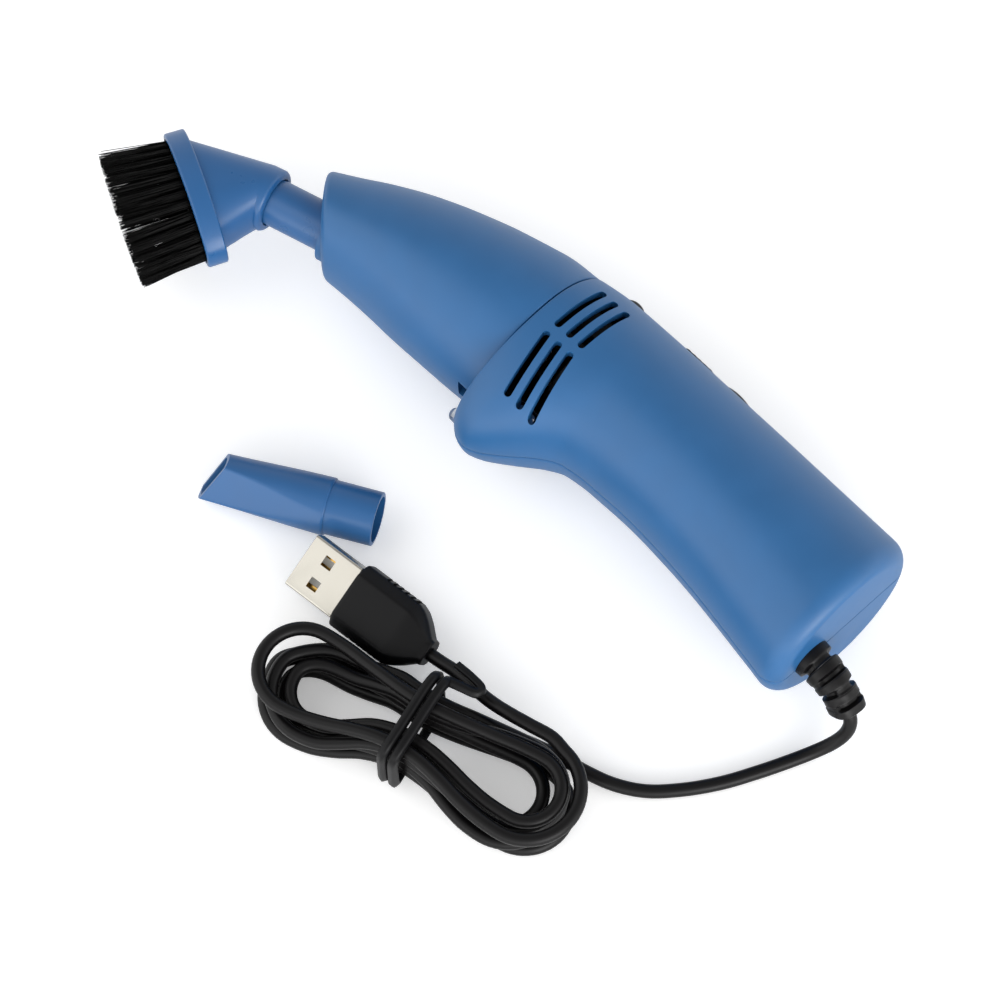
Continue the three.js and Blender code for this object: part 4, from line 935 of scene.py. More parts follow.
    def build(self, cover: "Cover") -> None:
        """Builds both halves."""
        for side, name in ((1, "handle_half_upper"), (-1, "handle_half_lower")):
            dress(self.half_shell(side, cover, f"housing_{name[7:]}"), Slot.BLUE, Body.HANDLE, [name], 30 * DEGREE)


@dataclass
class HumpScrew:
    """The screw under the finger hump, with a cross recess in its head."""

    head: Number = 1.95
    shank: Number = 1.1
    seat: Number = 11.8
    head_height: Number = 1.5
    length: Number = 8

    def build(self) -> None:
        """Builds the screw with its head down in the well."""
        x, rise = FRONT_X - SCREW_PLACES[0].back, SCREW_PLACES[0].rise
        rings = []
        bottom = self.seat - self.head_height
        steps = [(bottom, self.head - 0.5), (bottom + 0.12, self.head - 0.2), (bottom + 0.4, self.head)]
        steps += [(self.seat, self.head), (self.seat, self.shank)]
        for k in range(17):
            steps.append((self.seat + 0.2 + k * (self.length - 1.4) / 16, self.shank - (0.22 if k % 2 else 0.0)))
        steps.append((self.seat + self.length - 0.6, 0.3))
        for z, radius in steps:
            rings.append(round_ring(Vector((x, rise, z)), Vector((1, 0, 0)), Vector((0, 1, 0)), radius, 32))
        screw = Draft().loft(rings).solid("hump_screw", HANDLE_FRAME)
        for half_x, half_y in ((1.1, 0.25), (0.25, 1.1)):
            low = (x - half_x, rise - half_y, bottom - 1)
            high = (x + half_x, rise + half_y, bottom + 0.9)
            combine(screw, Draft().block(low, high, 0.05, 1).solid("cross", HANDLE_FRAME))
        dress(screw, Slot.STEEL, Body.HANDLE, ["screw_hump"])


@dataclass
class Cover:
    """The tapered front cover over the dust chamber."""

    length: Number = 53
    top: Number = 17.55
    belly: Number = 20.6
    half: Number = 17.3
    wall: Number = 1.6
    front_wall: Number = 2
    edge: Number = 1.4
    rear_edge: Number = 0.35
    front_tilt: Number = -26 * DEGREE
    collar_draft: Pair = (0.2, 2.2)
    sleeve_wall: Number = 1.3
    sleeve_length: Number = 10.5
    rows: list[list[Number]] = field(
        default_factory=lambda: [
            [0, 0, 0.917, 1, 0.99], [0.151, 0.151, 1, 0.917, 1], [0.302, 0.302, 1, 0.833, 0.994],
            [0.453, 0.453, 0.977, 0.752, 0.971], [0.604, 0.604, 0.929, 0.675, 0.925],
            [0.755, 0.755, 0.84, 0.585, 0.855], [0.868, 0.868, 0.752, 0.529, 0.786], [1, 1, 0.66, 0.473, 0.72],
        ]
    )

    def __post_init__(self) -> None:
        """Reads the outline's table once."""
        turn = self.front_tilt - HANDLE_BEND
        self.profile = Profile(self.rows, [self.length, turn, self.top, self.belly, self.half])

    def ring(self, along: Number, less: Number, shift: Number = 0, draft: Number = 0, sides: int = 128) -> Ring:
        """The cover's section.

        Args:
            along: place along the cover that the section is read at.
            less: how far inside the outer skin it is.
            shift: how far the section is moved along the nozzle.
            draft: 1 where the collar's draft applies.
            sides: how many points.

        Returns:
            The section's points in the nozzle's frame.
        """
        turn, top, belly, half = self.profile.at(along)
        tilt = HANDLE_BEND + turn
        across = Vector((math.sin(tilt), math.cos(tilt), 0))
        centre = Vector((along + shift, 0, AXIS_HEIGHT))
        top_less = less + self.collar_draft[0] * draft
        belly_less = less + self.collar_draft[1] * draft
        return egg_ring(centre, across, top - top_less, belly - belly_less, half - top_less, sides)

    def rim_ring(self, shift: Number, less: Number, draft: Number) -> Ring:
        """The rear rim's section, moved along the nozzle."""
        return self.ring(0, less, shift, draft, 96)

    def notch(self) -> Object:
        """The cutter for the small V notch in the rim, which goes through the cover and the collar."""
        outline = [(10.4, 20.8), (3.5, 19.6), (3.5, 16.6), (10.0, 16.6)]
        return Draft().prism(outline, 13, 23, Axis.Y).solid("notch", NOZZLE_FRAME)

    def build(self) -> None:
        """Builds the cover with its sleeve, bore and notch."""
        stops = spread_stops(TOUCH_GAP + self.rear_edge, self.length - self.edge, 64)
        places = rounded_start(TOUCH_GAP, self.rear_edge, 4) + [(along, 0.0) for along in stops]
        places += rounded_end(0, self.length, self.edge, 9)
        shell = Draft().loft([self.ring(along, less) for along, less in places]).solid("cover_shell", NOZZLE_FRAME)
        inner = [self.rim_ring(-2 * OVERRUN, self.wall, 0)]
        for along in spread_stops(0, self.length - self.front_wall, 40):
            inner.append(self.ring(along, self.wall, sides=96))
        combine(shell, Draft().loft(inner).solid("hollow", NOZZLE_FRAME))
        bore = Tube.radius + TOUCH_GAP
        start, end = self.length - self.sleeve_length, self.length - self.front_wall + 0.5
        wide = bore + self.sleeve_wall
        sleeve = Draft().lathe([(start, bore), (start, wide), (end, wide), (end, bore)])
        combine(shell, sleeve.solid("sleeve", NOZZLE_FRAME), Cut.PLUS)
        combine(shell, Draft().bar(start - OVERRUN, self.length + 9, bore).solid("bore", NOZZLE_FRAME))
        combine(shell, self.notch())
        dress(shell, Slot.BLUE, Body.COVER, ["front_cover"], 30 * DEGREE)


@dataclass
class Tube:
    """The short nozzle tube between cover and brush."""

    radius: Number = 5
    bore: Number = 4
    start: Number = 42.5
    end: Number = 73.5
    edge: Number = 0.35

    def build(self) -> None:
        """Builds the tube with rounded rims."""
        e = self.edge
        outline = [
            (self.start + e, self.radius), (self.end - e, self.radius), (self.end, self.radius - e),
            (self.end, self.bore + e), (self.end - e, self.bore), (self.start + e, self.bore),
            (self.start, self.bore + e), (self.start, self.radius - e),
        ]
        tube = Draft().lathe(outline, sides=72).solid("snout_tube", NOZZLE_FRAME)
        dress(tube, Slot.GLOSS_BLUE, Body.SNOUT, ["nozzle_tube"])


@dataclass
class Brush:
    """The elbow with its round socket, oval collar and bristles."""

    mouth: Number = 65
    turn: Number = 49.5 * DEGREE
    reach: Number = 13.5
    rise: Number = 5.6
    socket: Number = 6.9
    long: Number = 12.1
    high: Number = 8.2
    collar_long: Number = 15.9
    collar_high: Number = 9.4
    depth: Number = 4.4
    wall: Number = 1.4
    edge: Number = 1.2
    squareness: Number = 2.7
    start: Number = 2.5
    start_tilt: Number = 10 * DEGREE
    root: Number = 1.2
    hopper_start: Number = 0.52
    collar_edge: Number = 0.5
    recess_long: Number = 14.9
    recess_high: Number = 8.1
    recess_depth: Number = 2.3
    socket_bore: Number = 5.3
    socket_depth: Number = 8.8

    def __post_init__(self) -> None:
        """Sets up the collar's frame."""
        self.axis = Vector((math.cos(self.turn), math.sin(self.turn), 0))
        self.across = Vector((-math.sin(self.turn), math.cos(self.turn), 0))
        self.back = Vector((self.mouth + self.reach, self.rise, AXIS_HEIGHT))

    def ring(self, share: Number, inset: Number, sides: int) -> Ring:
        """The elbow's section, ruled between a round one and an oval one.

        Args:
            share: share of the straight way from socket to collar.
            inset: how far inside the outer skin it is.
            sides: how many points.

        Returns:
            The section's points in the nozzle's frame.
        """
        start = Vector((self.mouth + self.start, 0, AXIS_HEIGHT))
        side = Vector((-math.sin(self.start_tilt), math.cos(self.start_tilt), 0))
        radius, long, high = self.socket - inset, self.long - inset, self.high - inset
        first = egg_ring(start, side, radius, radius, radius, sides)
        last = egg_ring(self.back, self.across, long, long, high, sides, self.squareness)
        return [a.lerp(b, share) for a, b in zip(first, last)]

    def oval(self, depth: Number, long: Number, high: Number, sides: int, power: Number = 2.0) -> Ring:
        """An oval section of the collar at a depth from its back."""
        return egg_ring(self.back + self.axis * depth, self.across, long, long, high, sides, power)

    def head(self) -> None:
        """Builds the elbow and its collar."""
        mouth = []
        for x, less in rounded_start(self.mouth, self.edge, 6):
            radius = self.socket - less
            mouth.append(egg_ring(Vector((x, 0, AXIS_HEIGHT)), Vector((0, 1, 0)), radius, radius, radius, 96))
        body = [self.ring(share, 0, 96) for share in spread_stops(0, 1, 20)]
        rooted = [self.oval(self.root, self.long, self.high, 96, self.squareness)]
        head = Draft().loft(mouth + body + rooted).solid("brush_elbow", NOZZLE_FRAME)
        edge, long, high = self.collar_edge, self.collar_long, self.collar_high
        ends = rounded_start(0, edge, 4) + [(self.depth - edge, 0.0)] + rounded_end(0, self.depth, edge, 4)
        collar = [self.oval(x, long - less, high - less, 96) for x, less in ends]
        combine(head, Draft().loft(collar).solid("collar", NOZZLE_FRAME), Cut.PLUS)
        inside = [self.ring(share, self.wall, 64) for share in spread_stops(self.hopper_start, 1, 8)]
        inside.append(self.oval(self.root, self.long - self.wall, self.high - self.wall, 64, self.squareness))
        combine(head, Draft().loft(inside).solid("hopper", NOZZLE_FRAME))
        narrow, past = self.wall + TOUCH_GAP, self.depth + OVERRUN
        throat = [self.oval(d, self.long - narrow, self.high - narrow, 64) for d in (-TOUCH_GAP, past)]
        combine(head, Draft().loft(throat).solid("throat", NOZZLE_FRAME))
        seat = self.depth - self.recess_depth
        recess = [self.oval(d, self.recess_long, self.recess_high, 96) for d in (seat, past)]
        combine(head, Draft().loft(recess).solid("recess", NOZZLE_FRAME))
        socket = Draft().bar(self.mouth - OVERRUN, self.mouth + self.socket_depth, self.socket_bore)
        combine(head, socket.solid("socket", NOZZLE_FRAME))
        dress(head, Slot.GLOSS_BLUE, Body.BRUSH, ["brush_head"], 30 * DEGREE)

    def build(self) -> None:
        """Builds the elbow, the backing and the bristles."""
        self.head()
        Bristles(self).build()


@dataclass
class Bristles:
    """Tufts of fine strands round the oval mouth, grown with Geometry Nodes."""

    brush: Brush
    tufts: int = 28
    strands: int = 84
    length: Number = 14.3
    radius: Number = 0.078
    lean: Number = 0.0084
    stray: Number = 0.026
    ragged: Number = 0.42
    backing_long: Number = 14.7
    backing_high: Number = 7.9
    mouth_long: Number = 9.8
    mouth_high: Number = 3.7
    tuft_long: Number = 13.3
    tuft_high: Number = 6.4
    half_width: Number = 1.05
    half_depth: Number = 1.1
    backing_depths: Triple = (1.9, 0.3, 0.2)
    backing_bevel: Number = 0.1
    slice_gap: Number = 0.012
    tip_share: Number = 0.55
    sunk: Number = 0.5
    slices: tuple[tuple[str, int, int], ...] = (
        ("bristles_belly", -3, 3), ("bristles_front", 4, 10), ("bristles_top", 11, 17), ("bristles_back", 18, 24),
    )

    def angles(self) -> list[Number]:
        """Angles round the oval at equal steps of its length.

        Returns:
            Two for each tuft.
        """
        long, high = self.tuft_long, self.tuft_high
        fine, count = 720, 2 * self.tufts
        lengths = [0.0]
        for k in range(fine):
            a, b = 2 * math.pi * k / fine, 2 * math.pi * (k + 1) / fine
            step = math.hypot(long * (math.cos(b) - math.cos(a)), high * (math.sin(b) - math.sin(a)))
            lengths.append(lengths[-1] + step)
        found = []
        k = 0
        for step in range(count):
            while lengths[k] < step / count * lengths[-1]:
                k += 1
            found.append(2 * math.pi * k / fine)
        return found

    def backing(self, name: str, first: int, last: int, angles: list[Number]) -> None:
        """Builds one slice of the oval ring that holds the tufts.

        Args:
            name: the solid that the slice's bristles stand for.
            first: its first tuft.
            last: its last tuft.
            angles: where the tufts stand.
        """
        count = 2 * self.tufts
        spans = []
        for step in (2 * first - 1, 2 * last + 1):
            turns = step // count
            spans.append(angles[step - turns * count] + turns * 2 * math.pi)
        brush, bevel = self.brush, self.backing_bevel
        back, front, face = (brush.depth - depth for depth in self.backing_depths)
        mouth_long, mouth_high, long, high = self.mouth_long, self.mouth_high, self.backing_long, self.backing_high
        corners = (
            (mouth_long, mouth_high, back), (long, high, back), (long, high, front),
            (long - bevel, high - bevel, face), (mouth_long + bevel, mouth_high + bevel, face),
            (mouth_long, mouth_high, front),
        )
        rings = []
        for angle in spread_stops(spans[0] + self.slice_gap, spans[1] - self.slice_gap, 28):
            ring = []
            for wide, tall, depth in corners:
                point = brush.back + brush.axis * depth + brush.across * (wide * math.cos(angle))
                point.z += tall * math.sin(angle)
                ring.append(point)
            rings.append(ring)
        slab = Draft().loft(rings).solid(name.replace("bristles", "backing"), NOZZLE_FRAME)
        dress(slab, Slot.BLACK, Body.BRUSH)

    def seeds(self, name: str, first: int, last: int, angles: list[Number]) -> Object:
        """Root points of one slice, with the way and the length of each strand as attributes.

        Args:
            name: the object's name.
            first: the slice's first tuft.
            last: its last tuft.
            angles: where the tufts stand.

        Returns:
            The object with the points.
        """
        rng = random.Random(first + 100)
        long, high = self.tuft_long, self.tuft_high
        roots, aims, lengths = [], [], []
        count = 2 * self.tufts
        for tuft in range(first, last + 1):
            angle = angles[2 * tuft % count]
            u, v = long * math.cos(angle), high * math.sin(angle)
            across = Vector((high * math.cos(angle), long * math.sin(angle))).normalized()
            lean_u, lean_v = rng.gauss(0, self.stray), rng.gauss(0, self.stray)
            for k in range(self.strands):
                spread = math.sqrt((k + 0.5) / self.strands)
                around = k * math.pi * (3 - math.sqrt(5))
                depth = self.half_depth * spread * math.cos(around)
                width = self.half_width * spread * math.sin(around)
                fu, fv = u + across.x * depth - across.y * width, v + across.y * depth + across.x * width
                root = self.brush.back + self.brush.axis * (self.brush.depth - self.sunk) + self.brush.across * fu
                root.z += fv
                sway = fu * self.lean + lean_u + rng.gauss(0, self.stray)
                aim = self.brush.axis + self.brush.across * sway
                aim.z += fv * self.lean + lean_v + rng.gauss(0, self.stray)
                roots.append(tuple((NOZZLE_FRAME @ root) * MM))
                aims.append(aim.normalized())
                lengths.append((self.length + self.sunk - abs(rng.gauss(0, self.ragged))) * MM)
        mesh = bpy.data.meshes.new(name)
        mesh.from_pydata(roots, [], [])
        way = mesh.attributes.new("aim", "FLOAT_VECTOR", "POINT")
        way.data.foreach_set("vector", [value for aim in aims for value in aim])
        size = mesh.attributes.new("reach", "FLOAT", "POINT")
        size.data.foreach_set("value", lengths)
        return new_object(name, mesh)

    def group(self) -> NodeTree:
        """The node group that grows one tapered strand from each point.

        Returns:
            The group, with both radii and the finish as its inputs.
        """
        tree = bpy.data.node_groups.new("grow_strands", "GeometryNodeTree")
        face = tree.interface
        for name, kind in (
            ("Geometry", "NodeSocketGeometry"), ("Root Radius", "NodeSocketFloat"),
            ("Tip Radius", "NodeSocketFloat"), ("Finish", "NodeSocketMaterial"),
        ):
            face.new_socket(name, in_out="INPUT", socket_type=kind)
        face.new_socket("Geometry", in_out="OUTPUT", socket_type="NodeSocketGeometry")
        given = add_node(tree, "NodeGroupInput").outputs
        strand = add_node(
            tree,
            "GeometryNodeMeshCone",
            {
                "Vertices": 5, "Side Segments": 3, "Radius Top": given["Tip Radius"],
                "Radius Bottom": given["Root Radius"], "Depth": 1.0,
            },
        ).outputs["Mesh"]
        aim = add_node(tree, "GeometryNodeInputNamedAttribute", {"Name": "aim"}, data_type="FLOAT_VECTOR").outputs[0]
        reach = add_node(tree, "GeometryNodeInputNamedAttribute", {"Name": "reach"}, data_type="FLOAT").outputs[0]
        turn = add_node(tree, "FunctionNodeAlignRotationToVector", {"Vector": aim}, axis="Z").outputs["Rotation"]
        scale = add_node(tree, "ShaderNodeCombineXYZ", {"X": 1.0, "Y": 1.0, "Z": reach}).outputs["Vector"]
        placed = add_node(
            tree,
            "GeometryNodeInstanceOnPoints",
            {"Points": given["Geometry"], "Instance": strand, "Rotation": turn, "Scale": scale},
        ).outputs["Instances"]
        real = add_node(tree, "GeometryNodeRealizeInstances", {"Geometry": placed}).outputs["Geometry"]
        dressed = add_node(tree, "GeometryNodeSetMaterial", {"Geometry": real, "Material": given["Finish"]})
        add_node(tree, "NodeGroupOutput", {"Geometry": dressed.outputs["Geometry"]})
        return tree

    def grow(self, name: str, points: Object, tree: NodeTree) -> Object:
        """Turns root points into strands and removes the modifier.

        Args:
            name: the strands' name.
            points: the object with the points.
            tree: the node group that grows them.

        Returns:
            The same object, with the strands as a plain mesh.
        """
        step = points.modifiers.new("grow", "NODES")
        step.node_group = tree
        names = {item.name: item.identifier for item in tree.interface.items_tree if item.in_out == "INPUT"}
        step[names["Root Radius"]] = self.radius * MM
        step[names["Tip Radius"]] = self.radius * self.tip_share * MM
        step[names["Finish"]] = FINISHES[Slot.BRISTLE].make()
        settle(points, step)
        points.name = name
        return points

    def build(self) -> None:
        """Builds the four slices of backing and bristles."""
        angles = self.angles()
        tree = self.group()
        for name, first, last in self.slices:
            self.backing(name, first, last, angles)
            points = self.seeds(f"{name}_seeds", first, last, angles)
            tufts = self.grow(name.replace("bristles", "tufts"), points, tree)
            dress(tufts, Slot.BRISTLE, Body.BRUSH, [name], 60 * DEGREE)


@dataclass
class SwitchPlate:
    """The long plate with raised ends and its sliding knob on the top edge."""

    centre: Number = 22.1
    length: Number = 36.2
    width: Number = 8.4
    proud: Number = 0.06
    knob_centre: Number = 24.8
    knob_length: Number = 7.6
    knob_width: Number = 5.4
    knob_rise: Number = 0.24
    knob_rib: Number = 0.08
    knob_ribs: int = 5
    stem_half: Pair = (1.5, 1.2)
    stem_end: Number = -13.8
    bumps: tuple[Triple, ...] = ((15.3, 5.2, 1.6), (-13.6, 8.8, 1.2))
    bump_half: Number = 3.7
    sunk: Number = 0.9
    edge: Number = 0.3
    slot: Pair = (-1.8, 5.8)
    slot_half: Number = 1.5
    slot_floor: Number = -14
    housing: Housing = field(default_factory=Housing)

    def surface(self, x: Number, z: Number, proud: Number) -> Vector:
        """A point over the handle's top edge.

        Args:
            x: its place along the handle.
            z: its height above the parting plane.
            proud: how far it stands above the skin.

        Returns:
            The point in the handle's frame.
        """
        top, _, half = self.housing.section(FRONT_X - x, 0, 0)
        y = -top * math.sqrt(max(0.0, 1 - (z / half) ** 2)) - proud
        return Vector((x, y, AXIS_HEIGHT + z))

    def raised(self, x: Number, z: Number) -> Number:
        """How far the plate's raised ends stand up.

        Args:
            x: the place along the handle.
            z: its height above the parting plane.

        Returns:
            The height above the plain plate.
        """
        rise = 0.0
        for place, length, height in self.bumps:
            far = ((x - (FRONT_X - self.centre + place)) / (length / 2)) ** 2 + (z / self.bump_half) ** 2
            rise = max(rise, height * math.sqrt(max(0.0, 1 - far)))
        return rise

    def plate(self) -> None:
        """Builds the plate as sections along the handle."""
        half, edge, sides = self.width / 2, self.edge, 24
        straight = self.length / 2 - half
        ends = [straight + half * math.sin(k / 12 * math.pi / 2) for k in range(12)]
        rings = []
        for a in [-place for place in reversed(ends)] + spread_stops(-straight, straight, 90)[1:-1] + ends:
            over = max(0.0, abs(a) - straight)
            wide = math.sqrt(half**2 - over**2)
            x = FRONT_X - self.centre + a
            top, bottom = [], []
            for k in range(sides + 1):
                b = wide * math.sin(lerp(-1, 1, k / sides) * math.pi / 2)
                depth = half - math.hypot(over, b)
                drop = edge - math.sqrt(edge**2 - max(0.0, edge - depth) ** 2)
                lift = self.raised(x, b) * smoothstep(0, 0.4, depth)
                top.append(self.surface(x, b, self.proud - drop + lift))
                bottom.append(self.surface(x, b, -self.sunk))
            rings.append(top + bottom[::-1])
        plate = Draft().loft(rings).solid("slide_plate", HANDLE_FRAME)
        x = FRONT_X - self.knob_centre
        low = (x + self.slot[0], OVER_TOP, AXIS_HEIGHT - self.slot_half)
        slot = Draft().block(low, (x + self.slot[1], self.slot_floor, AXIS_HEIGHT + self.slot_half), 0.2)
        combine(plate, slot.solid("slot", HANDLE_FRAME))
        dress(plate, Slot.BLACK, Body.HANDLE, ["switch_plate"])

    def knob(self) -> None:
        """Builds the ribbed knob with its stem."""
        x = FRONT_X - self.knob_centre
        foot = -Housing.top - self.proud - TOUCH_GAP
        half = self.knob_length / 2
        profile = []
        for along in spread_stops(-half, half, 81):
            wave = 0.5 - 0.5 * math.cos(2 * math.pi * self.knob_ribs * (along + half) / self.knob_length)
            fall = smoothstep(half - 0.5, half, abs(along)) * 0.25
            crest = self.knob_rib * (1 - wave) * smoothstep(0, 0.6, half - abs(along))
            profile.append((along, -self.knob_rise + crest + fall))
        rings = []
        ends = rounded_end(0, self.knob_width / 2, 0.3, 3)
        for z, less in [(-z, less) for z, less in reversed(ends)] + ends:
            level = AXIS_HEIGHT + z
            ring = [Vector((x + a * (1 - less / half), foot + min(b + less, -0.02), level)) for a, b in profile]
            ring += [Vector((x + half - less, foot, level)), Vector((x - half + less, foot, level))]
            rings.append(ring)
        cap = Draft().loft(rings)
        stem_x, stem_z = self.stem_half
        low = (x - stem_x, foot - 0.1, AXIS_HEIGHT - stem_z)
        cap.block(low, (x + stem_x, self.stem_end, AXIS_HEIGHT + stem_z), 0.15)
        dress(cap.solid("slide_knob", HANDLE_FRAME), Slot.BLACK, Body.SWITCH, ["switch_knob"])

    def build(self) -> None:
        """Builds the plate and the knob."""
        self.plate()
        self.knob()


@dataclass
class Lamp:
    """The clear lamp dome on the front of the finger hump."""

    radius: Number = 1.5
    rise: Number = 25
    length: Number = 6
    proud: Number = 0.5

    def build(self) -> None:
        """Builds the dome and the small cup inside it."""
        x = FRONT_X + self.proud
        outline = [(x - self.length, 0.0), (x - self.length, self.radius)]
        for k in range(13):
            angle = k / 12 * math.pi / 2
            outline.append((x + self.radius * math.sin(angle), self.radius * math.cos(angle)))
        dome = Draft().lathe(outline, self.rise, 40).solid("lamp_dome", HANDLE_FRAME)
        dress(dome, Slot.LENS, Body.HANDLE, ["led_lens"])
        cup = [(x - 3.4, 0.0), (x - 3.4, 0.35), (x - 1.1, 0.75), (x - 0.9, 0.75), (x - 1.9, 0.3), (x - 1.9, 0.0)]
        inner = Draft().lathe(cup, self.rise, 24).solid("lamp_cup", HANDLE_FRAME)
        dress(inner, Slot.STEEL, Body.HANDLE)


@dataclass
class Gland:
    """The segmented strain relief at the rear face."""

    radius: Number = 4.2
    tip: Number = 3.4
    ribs: int = 5
    groove: Number = 1.15
    rise: Number = 10.2
    bend: Number = 7.28
    reach: Number = 11.2
    sway: Number = 0.825
    droop: Number = 5.2
    squareness: Number = 2.9
    window_rise: Pair = (0.5, 0.68)
    window_fall: Pair = (0.86, 1.0)
    bridge_edge: Pair = (0.74, 0.9)
    bridge_share: Number = 0.8
    neck: Number = 3.2
    flange: Number = 4.6

    def curve(self, share: Number) -> tuple[Vector, Vector]:
        """The drooping curve that it follows.

        Args:
            share: share of the way from the rear face to the tip.

        Returns:
            The place and the direction there, in the handle's frame.
        """
        start = Vector((REAR_X + 0.2, self.rise, AXIS_HEIGHT))
        bend = Vector((REAR_X - TOUCH_GAP - self.bend, self.rise, AXIS_HEIGHT))
        end = Vector((REAR_X - TOUCH_GAP - self.reach, self.rise + self.sway, AXIS_HEIGHT - self.droop))
        place = start * (1 - share) ** 2 + bend * (2 * share * (1 - share)) + end * share**2
        way = (bend - start) * (2 * (1 - share)) + (end - bend) * (2 * share)
        return place, way.normalized()

    def build(self) -> None:
        """Builds the gland with its open windows on alternate sides."""
        rings = []
        steps = 120
        sides = 64
        for k in range(steps + 1):
            share = k / steps
            place, way = self.curve(share)
            side = Vector((0, 1, 0)) - way * way.y
            side.normalize()
            up = side.cross(way)
            cell = share * (self.ribs - 0.35)
            within = cell % 1
            sunk = smoothstep(*self.window_rise, within) * (1 - smoothstep(*self.window_fall, within))
            odd = int(cell) % 2
            ring = []
            for j in range(sides):
                angle = 2 * math.pi * j / sides
                bridge = abs(math.cos(angle)) if odd else abs(math.sin(angle))
                depth = self.groove * sunk * (1 - self.bridge_share * smoothstep(*self.bridge_edge, bridge))
                radius = lerp(self.radius, self.tip, share) - depth
                radius -= 0.5 * smoothstep(0.965, 1.0, share) + 0.12 * (1 - smoothstep(0, 0.05, within)) * (1 - sunk)
                square = lerp(2, self.squareness, smoothstep(0.7, 0.85, share))
                flat = signed_power(math.cos(angle), 2 / square)
                tall = signed_power(math.sin(angle), 2 / square)
                ring.append(place + side * (radius * flat) + up * (radius * tall))
            rings.append(ring)
        body = Draft().loft(rings)
        inside = REAR_X + 3.5
        body.bar(REAR_X - 0.6, inside, self.neck, self.rise, 32)
        body.bar(REAR_X + 2.1, inside, self.flange, self.rise, 32)
        dress(body.solid("cord_gland", HANDLE_FRAME), Slot.RUBBER, Body.HANDLE, ["strain_relief"])


def through(points: Sequence[Vector], step: Number) -> list[Vector]:
    """A smooth centripetal curve through points, in short steps.

    Args:
        points: what the curve passes through.
        step: the longest step.

    Returns:
        Points along the curve, with both ends.
    """
    first = points[0] * 2 - points[1]
    last = points[-1] * 2 - points[-2]
    line = [first, *points, last]
    out = [points[0].copy()]
    for p0, p1, p2, p3 in zip(line, line[1:], line[2:], line[3:]):
        t1 = (p1 - p0).length ** 0.5
        t2 = t1 + (p2 - p1).length ** 0.5
        t3 = t2 + (p3 - p2).length ** 0.5
        count = max(1, math.ceil((p2 - p1).length / step))
        for k in range(1, count + 1):
            t = lerp(t1, t2, k / count)
            a1 = p0 * ((t1 - t) / t1) + p1 * (t / t1)
            a2 = p1 * ((t2 - t) / (t2 - t1)) + p2 * ((t - t1) / (t2 - t1))
            a3 = p2 * ((t3 - t) / (t3 - t2)) + p3 * ((t - t2) / (t3 - t2))
            b1 = a1 * ((t2 - t) / t2) + a2 * (t / t2)
            b2 = a2 * ((t3 - t) / (t3 - t1)) + a3 * ((t - t1) / (t3 - t1))
            out.append(b1 * ((t2 - t) / (t2 - t1)) + b2 * ((t - t1) / (t2 - t1)))
    return out


